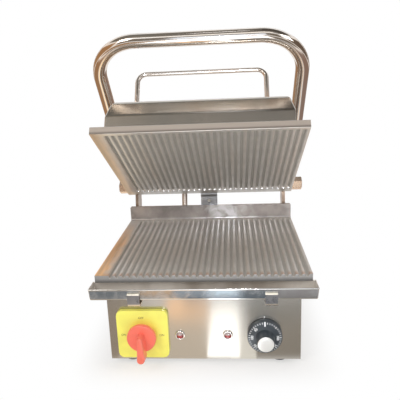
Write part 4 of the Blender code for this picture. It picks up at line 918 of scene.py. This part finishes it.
class GRILL_OT_thermostat(bpy.types.Operator):
    """Build the thermostat knob with its scale and bright cap"""
    bl_idname = "grill.thermostat"
    bl_label = "Thermostat knob"

    def execute(self, context):
        axis, panel = knob_frame("thermostat_turn"), joint_place["thermostat_turn"].y
        wide = (high("thermostat_dial").x - low("thermostat_dial").x) / 2
        top, tip = panel - low("thermostat_dial").y, panel - low("thermostat_cap").y
        base, edge, rise, grip, bore, hollow = 0.6, 8.3, 10.5, 11.6, 3.3, 14.6
        profile = [(0, top - 2.2), (10.3, top - 2.2), (10.3, top - 0.2), (10.5, top),
                   *round_corner((10.1, top - 0.8), 0.8, 80, 0, 3), (grip - 0.3, rise + 1.0), (grip + 0.5, rise),
                   (wide - 1.0, edge + 0.35), (wide - 0.3, edge), (wide, edge - 0.5), (wide, base + 0.3),
                   (wide - 0.3, base), (bore, base), (bore, hollow), (0, hollow)]
        piece("black_dial", lathe(profile, 96), axis, "black_moulding", "thermostat_knob",
              ["thermostat_dial"])
        profile = [(0, tip), (3.5, tip - 0.05), (7.0, tip - 0.3), (9.3, tip - 0.8), (9.9, tip - 1.25),
                   (10.0, tip - 1.9), (10.0, tip - 3.0), (0, tip - 3.0)]
        piece("bright_dial_cap", lathe(profile, 72), axis, "satin_cap", "thermostat_knob",
              ["thermostat_cap"])
        dial_scale(axis, wide, edge, math.atan2(rise - edge, wide - grip))
        mark = [(-0.55, 22.4), (0.55, 22.4), (0.55, 24.2), (-0.55, 24.2)]
        piece("pointer_line", stack([lift(mark, 0.02), lift(mark, 0.08)]), axis, "white_print", "base")
        return {"FINISHED"}


def dial_scale(axis, wide, edge, slope):
    """Ticks round the skirt, a bold index at zero and a number at each long tick."""

    def level(radius):
        return edge + (wide - 1.0 - radius) * math.tan(slope)

    bm, ticks, spacing, long = bmesh.new(), 40, 9, 5
    for tick in range(ticks):
        inner, outer, half = wide - 3.2, wide - 1.0, 0.30
        if tick % long == 0:
            inner, half = wide - 3.9, 0.42
        if tick == 0:
            inner, outer, half = wide - 6.0, wide - 0.3, 0.95
        corners = ((inner, -half), (outer, -half), (outer, half), (inner, half))
        spot = turned(90 + spacing * tick, "Z")
        stack([[spot @ Vector((radius, side, level(radius) + rise)) for radius, side in corners]
               for rise in (0.33, 0.40)], bm)
    piece("dial_ticks", bm, axis, "white_print", "thermostat_knob")
    settings, radius = controls(), wide - 5.9
    for value in range(settings.first_degrees, settings.last_degrees + 1, settings.degree_step):
        place = axis @ turned(270 * value / settings.last_degrees, "Z") @ at((0, radius, level(radius) + 0.40))
        place = place @ Matrix.Rotation(-slope, 4, "X")
        number("dial_number_%d" % value, str(value), 4.4, place, "white_print", "thermostat_knob",
               0.10)


# Hinge, handle and bolts


class GRILL_OT_hinges(bpy.types.Operator):
    """Build the hinge bolts, spacers, cap nuts and bracket bolts"""
    bl_idname = "grill.hinges"
    bl_label = "Hinges"

    def execute(self, context):
        for hand, sign in hands:
            hinge(hand, sign)
            for level in ("lower", "upper"):
                bracket_bolt("%s_%s" % (hand, level), sign)
        stop_bolt()
        return {"FINISHED"}


def hinge(hand, sign):
    axis = across(joint_place["lid_hinge"], sign)
    near, far = ends("hinge_bolt_" + hand, sign)
    head, radius, edge = near + 7, 10.4, 0.8
    profile = [(0, far), (5.4, far), (6, far - edge), (6, head), (radius, head), (radius, near + edge),
               (radius - edge, near), (0, near)]
    fastener("hinge_pin_" + hand, lathe(profile), axis, "base", "hinge_bolt_" + hand)
    near, far = ends("hinge_spacer_" + hand, sign)
    bore, radius, edge = 6.3, 9.5, 0.4
    profile = [(bore, far), (radius - edge, far), (radius, far - edge), (radius, near + edge),
               (radius - edge, near), (bore, near)]
    fastener("hinge_bush_" + hand, lathe(profile), axis, "base", "hinge_spacer_" + hand)
    near, far = ends("hinge_cap_nut_" + hand, sign)
    boss = [(0, far + 0.02), (3.2, far + 0.02), (3.8, far - 0.5), (0, far - 0.5)]
    bm = lathe(boss, 32, hexagon(19, near, far, 1.5))
    piece("long_nut_" + hand, bm, axis, "nut_steel", "base", ["hinge_cap_nut_" + hand])


def bracket_bolt(where, sign):
    node = "bracket_bolt_" + where
    near, far = ends(node, sign)
    face = far - 3.1
    profile = [(0, far - 1.6), (2.0, far - 1.6), (2.2, far - 0.1), (2.9, far), (4.2, far - 0.45),
               (5.2, far - 1.5), (5.5, far - 2.4), (5.5, face), (3.0, face), (3.0, near), (0, near)]
    fastener("button_bolt_" + where, lathe(profile, 40), across(middle(node), sign), "base", node)


def stop_bolt():
    front, rear = low("stop_bolt").y, high("stop_bolt").y
    axis = at((middle("stop_bolt").x, 0, middle("stop_bolt").z)) @ turned(-90, "X")
    shank = [(0, rear - 1), (3, rear - 1), (3, front + 0.5), (2.5, front), (0, front)]
    bm = hexagon(8.6, rear - 2.6, rear, 0.5, lathe(shank, 32))
    fastener("stop_hex_bolt", bm, axis, "base", "stop_bolt")


class GRILL_OT_handle(bpy.types.Operator):
    """Build the polished carrying handle and its pivot bolts"""
    bl_idname = "grill.handle"
    bl_label = "Handle"

    def execute(self, context):
        radius, bend, start, reach = 9, 56, -30.3, 239
        leg = high("handle_tube").x - radius
        side = [(-leg, start), (-leg, start - 2)]
        side += [(-leg, start + (-reach - start) * share) for share in (0.25, 0.5, 0.75)]
        side += round_corner((bend - leg, -reach), bend, 180, 270, 20)
        path = [(x, y, 0) for x, y in mirrored(side, (0, -reach - bend))]
        settle(polyline("polished_handle", path, radius), arm_frame(), "tube_polish", "handle_arm",
               ["handle_tube"])
        for hand, sign in hands:
            pivot(hand, sign)
        return {"FINISHED"}


def pivot(hand, sign):
    """The bolt and nut on which the head floats."""
    axis = across(joint_place["head_float"], sign)
    near, far = ends("pivot_bolt_" + hand, sign)
    face = far - 5.2
    shank = [(0, face + 1), (4, face + 1), (4, near + 0.6), (3.4, near), (0, near)]
    bm = hexagon(13, face, far, 0.7, lathe(shank, 32))
    fastener("hex_pivot_" + hand, bm, axis, "handle_arm", "pivot_bolt_" + hand)
    bm = hexagon(13, *ends("pivot_nut_" + hand, sign), 0.6)
    fastener("thin_nut_" + hand, bm, axis, "handle_arm", "pivot_nut_" + hand)


# Floating head


class GRILL_OT_head(bpy.types.Operator):
    """Build the head's casing, bail and rivets"""
    bl_idname = "grill.head"
    bl_label = "Head"

    def execute(self, context):
        half, front, rear = 121, 14 - plate("depth"), -14
        foot, shoulder, roof, lean, roll = 10.3, 32, 58, 9, 11
        slope = lean / (roof - shoulder)
        levels = [(foot, 0.0), (foot + 0.3, 0.0), (shoulder - 2.1, 0.0), (shoulder - 1.8, 0.0),
                  (shoulder - 0.9, 0.05), (shoulder, 0.18), (shoulder + 0.9, 0.40),
                  (shoulder + 1.9, slope * 1.9), (shoulder + 2.2, slope * 2.2)]
        tilt = math.atan(slope)
        cut = roll * math.tan((math.pi / 2 - tilt) / 2)
        start = Vector((lean - cut * math.sin(tilt), roof - cut * math.cos(tilt)))
        levels.append((start.y - 0.3, start.x - slope * 0.3))
        centre = start + roll * Vector((math.cos(tilt), -math.sin(tilt)))
        levels += [(height, inset) for inset, height in
                   round_corner(centre, roll, 180 - math.degrees(tilt), 90, 8)]
        rings = [rounded_rectangle(half - inset * 0.75, front + inset, rear - inset, 3, height, 5)
                 for height, inset in levels]
        cover = piece("head_cover", stack(rings, cap_low=False), head_frame(), "sheet_head", "upper_head",
                      ["upper_housing"], 50)
        sheet = cover.modifiers.new("sheet", "SOLIDIFY")
        sheet.thickness = 1.2 * mm
        sheet.offset = -1
        bail()
        for hand, sign in hands:
            rivets(hand, sign)
        return {"FINISHED"}


def bail():
    """The wire behind the head's top edge, with a collar where each leg enters the casing."""
    wide, y, crown, bend, inside, straight, roof = 89, -182, 117, 13, 52, 80, 57
    side = [(-wide, inside), (-wide, straight)] + round_corner((bend - wide, crown - bend), bend, 180, 90, 12)
    wire = polyline("bright_bail", [(x, y, z) for x, z in mirrored(side, (0, crown))], 3.2)
    settle(wire, head_frame(), "wire_polish", "upper_head", ["top_bail"])
    bm = bmesh.new()
    for hand, sign in hands:
        ring = [(3.3, 1.5), (5.0, 1.4), (6.4, 0.7), (6.6, 0), (3.3, 0)]
        lathe(ring, 32, bm, at((sign * wide, y, roof)))
    fastener("bail_collars", bm, head_frame(), "upper_head")


def rivets(hand, sign):
    """Two domed rivets through the pivot ear into the casing's band."""
    bm, level = bmesh.new(), 21
    for y in (-64, -96):
        spot = at((sign * high("pivot_ear_right").x, y, level)) @ turned(90 * sign, "Y")
        lathe([(0, 0.9), (1.4, 0.8), (2.5, 0.4), (3.0, 0), (0, -0.4)], 28, bm, spot)
    fastener("ear_rivets_" + hand, bm, head_frame(), "upper_head")


# Wiring hose and glands

hose_entry = Vector((-43, -14 - 9 * 8 / 25, 40))  # where the hose meets the sloping rear of the head


def hose_line():
    """The hose's centreline in metres, from the deck to the head, smooth from gland to gland."""
    start = Vector((middle("hose_lower").x, middle("hose_gland_lower").y, low("hose_lower").z))
    inward = (head_frame().to_3x3() @ Vector((0, -1, 0))).normalized()
    sunk, stub, steps = 6, 15.5, 40
    entry = head_frame() @ Vector((start.x, hose_entry.y - sunk, hose_entry.z))
    first = Vector((start.x, start.y, high("hose_gland_lower").z + 1.5))
    last = entry - inward * stub
    pull = (last - first).length * 0.5
    near, far = first + Vector((0, 0, pull)), last - inward * pull
    points = [start]
    for step in range(steps + 1):
        t = step / steps
        points.append(first * (1 - t) ** 3 + near * 3 * t * (1 - t) ** 2 + far * 3 * t ** 2 * (1 - t) + last * t ** 3)
    return [point * mm for point in (*points, entry)]


def sleeve(name, points, nodes):
    """A stretch of hose whose rings stay square to the line."""
    side, radius, sides, rings = Vector((1, 0, 0)), 4.5 * mm, 24, []
    for index, point in enumerate(points):
        ahead = points[min(index + 1, len(points) - 1)] - points[max(index - 1, 0)]
        up = ahead.normalized().cross(side)
        rings.append([point + side * radius * math.cos(turn) + up * radius * math.sin(turn)
                      for turn in (2 * math.pi * step / sides for step in range(sides))])
    made = mesh_object(name, stack(rings), 50)
    made.data.materials.append(finishes["hose_sleeve"])
    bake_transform(made)
    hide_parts(*nodes)


class GRILL_OT_wiring(bpy.types.Operator):
    """Build the wiring hose, its glands and the mains inlet"""
    bl_idname = "grill.wiring"
    bl_label = "Wiring"

    def execute(self, context):
        points, split, in_base = hose_line(), high("hose_lower").z * mm, 30
        joined = min(range(in_base), key=lambda index: abs(points[index].z - split))
        sleeve("bright_hose_lower", points[:joined + 1], ["hose_lower"])
        sleeve("bright_hose_upper", points[joined:], ["hose_upper"])

        deck = at((middle("hose_gland_lower").x, middle("hose_gland_lower").y, high("hose_gland_lower").z - 8))
        profile = [(4.8, 8), (5.3, 8), (5.6, 7.6), (6.2, 5.6), (7, 4), (7, 0.6), (6.7, 0.3), (5.6, 0.3),
                   (5.6, -1.5), (4.8, -1.5)]
        gland("deck_gland", profile, deck, "base", "hose_gland_lower")
        profile = [(4.8, 8), (5.3, 8), (5.6, 7.6), (6.3, 5.6), (7, 4.4), (7, 3.2), (6.7, 2.9), (4.8, 2.9)]
        gland("head_gland", profile, head_frame() @ at(hose_entry) @ turned(-90, "X"), "upper_head",
              "hose_gland_upper")
        inlet = at((middle("mains_gland").x, high("mains_gland").y - 22, middle("mains_gland").z))
        profile = [(4.2, 22), (5.9, 22), (6.5, 21.4), (7.2, 16)]
        for ring in range(4):
            radius, level = 7.4 + ring * 0.5, 15.4 - ring * 2.4
            profile += [(radius, level), (radius + 0.8, level - 0.8)]
        profile += [(10, 5.6), (10, 0.9), (9.5, 0.3), (6.7, 0.3), (6.7, -2.4), (4.2, -2.4)]
        gland("mains_inlet", profile, inlet @ turned(-90, "X"), "base", "mains_gland")
        return {"FINISHED"}


def gland(name, profile, place, body, node):
    piece(name, lathe(profile), place, "black_moulding", body, [node])


# Stage, in metres

light_aim, soft_edge = Vector((0, 0, 0.16)), 0.86
cards = {
    (0, 0, -1): (
        ("ceiling", (0.0, -0.50, 2.0), (4.4, 2.8), (0.20, 0.186, 0.163)),
        ("ceiling_dark", (0.95, -0.50, 1.97), (1.6, 2.8), (0.095, 0.083, 0.072)),
        ("ceiling_gold", (-0.58, -1.18, 1.98), (0.40, 0.70), (0.50, 0.38, 0.25)),
        ("ceiling_front", (0.10, -1.25, 1.955), (3.0, 0.60), (0.33, 0.31, 0.29)),
        ("ceiling_lamp", (0.01, -0.40, 1.98), (0.30, 0.16), (2.0, 2.0, 2.1)),
        ("ceiling_strip", (0.1, -1.70, 1.95), (2.4, 0.30), (1.9, 1.85, 1.75))),
    (1, 0, 0): (
        ("left_wall", (-2.2, -0.1, 0.75), (4.0, 1.9), (0.42, 0.25, 0.13)),),
    (-1, 0, 0): (
        ("right_wall", (2.2, -0.1, 0.75), (4.0, 1.9), (0.15, 0.115, 0.09)),),
    (0, 1, 0): (
        ("front_wall", (0.0, -2.4, 0.95), (4.2, 1.8), (0.20, 0.17, 0.14)),
        ("window", (0.12, -2.35, 0.75), (0.95, 1.10), (1.10, 1.20, 1.35))),
    (0, -1, 0): (
        ("back_left", (-1.30, 2.2, 0.55), (1.9, 1.3), (0.40, 0.27, 0.19)),
        ("back_right", (1.32, 2.2, 0.55), (1.9, 1.3), (0.32, 0.24, 0.20)),
        ("back_low", (0.0, 2.19, 0.35), (1.4, 1.0), (0.45, 0.31, 0.21))),
    (0, 0, 1): (
        ("left_mat", (-0.93, 0.90, 0.001), (1.36, 2.6), (0.38, 0.23, 0.13)),
        ("left_glow", (-0.215, 0.05, 0.002), (0.10, 0.50), (1.3, 1.08, 0.75)),
        ("right_mat", (0.90, 0.90, 0.001), (1.36, 2.6), (0.28, 0.20, 0.165)),
        ("right_glow", (0.185, 0.05, 0.002), (0.05, 0.50), (0.80, 0.56, 0.36)),
        ("shade_left", (-0.18, -0.23, 0.003), (0.14, 0.20), (0.46, 0.385, 0.31)),
        ("beige_mat", (-0.060, -0.205, 0.0025), (0.14, 0.15), (0.86, 0.76, 0.64)),
        ("gold_streak", (-0.035, -0.290, 0.003), (0.075, 0.08), (2.0, 1.18, 0.58)),
        ("white_mat", (0.0235, -0.212, 0.0035), (0.046, 0.155), (2.6, 2.6, 2.6)),
        ("pale_mat", (0.050, -0.165, 0.003), (0.035, 0.07), (1.2, 1.18, 1.12)),
        ("olive_mat", (0.145, -0.23, 0.002), (0.19, 0.19), (0.38, 0.345, 0.30)),
        ("dark_corner", (0.13, -0.295, 0.003), (0.15, 0.09), (0.20, 0.20, 0.19)),
        ("tray_shade", (0.030, -0.318, 0.0039), (0.16, 0.056), (0.10, 0.13, 0.16)),
        ("steel_mat", (0.0, -0.360, 0.002), (1.0, 0.06), (0.15, 0.165, 0.18)),
        ("gold_mat", (-0.091, -0.365, 0.0025), (0.07, 0.03), (0.70, 0.46, 0.26)),
        ("sky_mat", (-0.006, -0.360, 0.003), (0.13, 0.05), (0.30, 0.35, 0.40)),
        ("sky_core", (0.019, -0.360, 0.0035), (0.055, 0.05), (0.88, 1.05, 1.20)),
        ("rose_mat", (0.16, -0.360, 0.0025), (0.12, 0.06), (0.28, 0.26, 0.26)),
        ("rim_mat", (0.0, -0.410, 0.002), (1.0, 0.04), (0.45, 0.48, 0.52)),
        ("front_glow", (0.03, -1.0, 0.002), (0.44, 1.1), (3.6, 3.6, 3.6)),
        ("far_left", (-0.72, -1.0, 0.001), (1.2, 1.14), (0.40, 0.27, 0.17)),
        ("far_right", (0.80, -1.0, 0.001), (1.2, 1.14), (0.22, 0.19, 0.16))),
}


class GRILL_OT_stage(bpy.types.Operator):
    """Set the camera, floor, lights and reflecting cards"""
    bl_idname = "grill.stage"
    bl_label = "Stage"

    def execute(self, context):
        context.scene.view_settings.view_transform = "Standard"
        settings = studio()
        camera(settings)
        room(settings)
        floor(settings)
        softbox("key_light", (-0.9, -1.3, 1.25), 0.7, settings.key, (1.0, 0.96, 0.90))
        softbox("fill_light", (1.25, -0.75, 0.9), 0.5, settings.fill, (1.0, 0.97, 0.95))
        softbox("flash_light", (0.04, -0.78, 0.42), 0.07, settings.flash, (0.97, 0.98, 1.0))
        for look, rows in cards.items():
            for name, place, size, tone in rows:
                card(name, Vector(place), size, Vector(look), tone)
        return {"FINISHED"}


def facing(place, aim):
    """A frame at place whose -Z looks at aim."""
    return at(place) @ (aim - place).to_track_quat("-Z", "Y").to_matrix().to_4x4()


def camera(settings):
    lens = bpy.data.cameras.new("camera")
    lens.lens = settings.lens
    lens.sensor_width = 36.0
    lens.shift_x, lens.shift_y = 0.017, 0.0088
    place = at(settings.camera_place)
    for radians, axis in ((settings.camera_yaw, "Z"), (-settings.camera_pitch, "X"), (settings.camera_roll, "Y")):
        place = place @ Matrix.Rotation(radians, 4, axis)
    made = bpy.context.scene.camera = linked("camera", lens)
    made.matrix_world = place @ turned(90, "X")


def room(settings):
    """An even light, which the camera and gloss see as white."""
    world = bpy.context.scene.world = bpy.data.worlds.new("room")
    world.use_nodes = True
    world.node_tree.nodes.clear()
    nodes = Nodes(world.node_tree)
    even = nodes.add("Background", {"Color": (1.0, 0.985, 0.96, 1), "Strength": settings.room})[0]
    white = nodes.add("Background", {"Color": (1, 1, 1, 1), "Strength": 1.0})[0]
    nodes.add("OutputWorld", {"Surface": nodes.mix_shaders(nodes.seen(), even, white)})


def staged(name, bm):
    """A mesh of the stage, with its own material's nodes."""
    made = mesh_object(name, bm)
    material = bpy.data.materials.new(name)
    material.use_nodes = True
    made.data.materials.append(material)
    return made, Nodes(material.node_tree)


def floor(settings):
    """A pale disc that turns white from the grill's outline outward."""
    outline, fade = (0.115, 0.125, 0.0), 0.065
    bm = bmesh.new()
    bmesh.ops.create_circle(bm, cap_ends=True, segments=96, radius=12.0)
    made, nodes = staged("studio_floor", bm)
    shader = nodes.tree.nodes["Principled BSDF"]
    nodes.wire(shader.inputs, {"Base Color": (*settings.floor, 1), "Roughness": 0.9, "Specular IOR Level": 0.1})
    away = nodes.vector("ABSOLUTE", nodes.add("TexCoord", {})["Object"])[0]
    away = nodes.vector("MAXIMUM", nodes.vector("SUBTRACT", away, outline)[0], (0.0, 0.0, 0.0))[0]
    far = nodes.ramp(nodes.vector("LENGTH", away)["Value"], 0.0, fade, 0.5, kind="SMOOTHSTEP")
    share = nodes.times(far, nodes.seen())
    both = nodes.mix_shaders(share, shader.outputs[0], nodes.glow((1, 1, 1)))
    nodes.wire(nodes.tree.nodes["Material Output"].inputs, {"Surface": both})


def softbox(name, place, size, power, tone):
    light = bpy.data.lights.new(name, "AREA")
    light.shape = "SQUARE"
    light.size = size
    light.energy = power
    light.color = tone
    linked(name, light).matrix_world = facing(Vector(place), light_aim)


def card(name, place, size, look, tone):
    """A card with soft edges that only gloss sees, as in a product studio; look is the way it faces."""
    bm = bmesh.new()
    bmesh.ops.create_grid(bm, x_segments=1, y_segments=1, size=0.5)
    bmesh.ops.scale(bm, vec=(*size, 1), verts=bm.verts)
    made, nodes = staged(name, bm)
    sides = nodes.add("SeparateXYZ", {0: nodes.add("TexCoord", {})["Object"]})
    inside = []
    for side, reach in zip(sides, (size[0] / 2, size[1] / 2)):
        away = nodes.add("Math", {0: side}, operation="ABSOLUTE")[0]
        inside.append(nodes.ramp(away, reach, reach * soft_edge, kind="SMOOTHSTEP"))
    clear = nodes.add("BsdfTransparent", {})[0]
    both = nodes.mix_shaders(nodes.times(*inside), clear, nodes.glow(tone))
    nodes.wire(nodes.tree.nodes["Material Output"].inputs, {"Surface": both})
    made.matrix_world = facing(place, place + look)
    for ray in ("camera", "diffuse", "shadow", "transmission"):
        setattr(made, "visible_" + ray, False)


class GRILL_PT_panel(bpy.types.Panel):
    """Lists the steps in the sidebar"""
    bl_label = "Sandwich grill"
    bl_idname = "GRILL_PT_panel"
    bl_space_type = "VIEW_3D"
    bl_region_type = "UI"
    bl_category = "Grill"

    def draw(self, context):
        for step in steps:
            self.layout.operator(step.bl_idname)
        for group in groups:
            settings = getattr(context.scene, group)
            box = self.layout.box()
            for name in settings.__annotations__:
                box.prop(settings, name)


groups = {"grill_plates": GrillPlates, "grill_steel": GrillSteel, "grill_controls": GrillControls,
          "grill_stage": GrillStage}
steps = (GRILL_OT_stage, GRILL_OT_finishes, GRILL_OT_castings, GRILL_OT_casing, GRILL_OT_switch, GRILL_OT_lamps,
         GRILL_OT_thermostat, GRILL_OT_hinges, GRILL_OT_handle, GRILL_OT_head, GRILL_OT_wiring)


def register():
    for made in (*groups.values(), *steps, GRILL_PT_panel):
        bpy.utils.register_class(made)
    for name, made in groups.items():
        setattr(bpy.types.Scene, name, PointerProperty(type=made))


def unregister():
    for name in groups:
        delattr(bpy.types.Scene, name)
    for made in reversed((*groups.values(), *steps, GRILL_PT_panel)):
        bpy.utils.unregister_class(made)


def main():
    register()
    for step in steps:
        family, name = step.bl_idname.split(".")
        getattr(getattr(bpy.ops, family), name)()


if __name__ == "__main__":
    main()
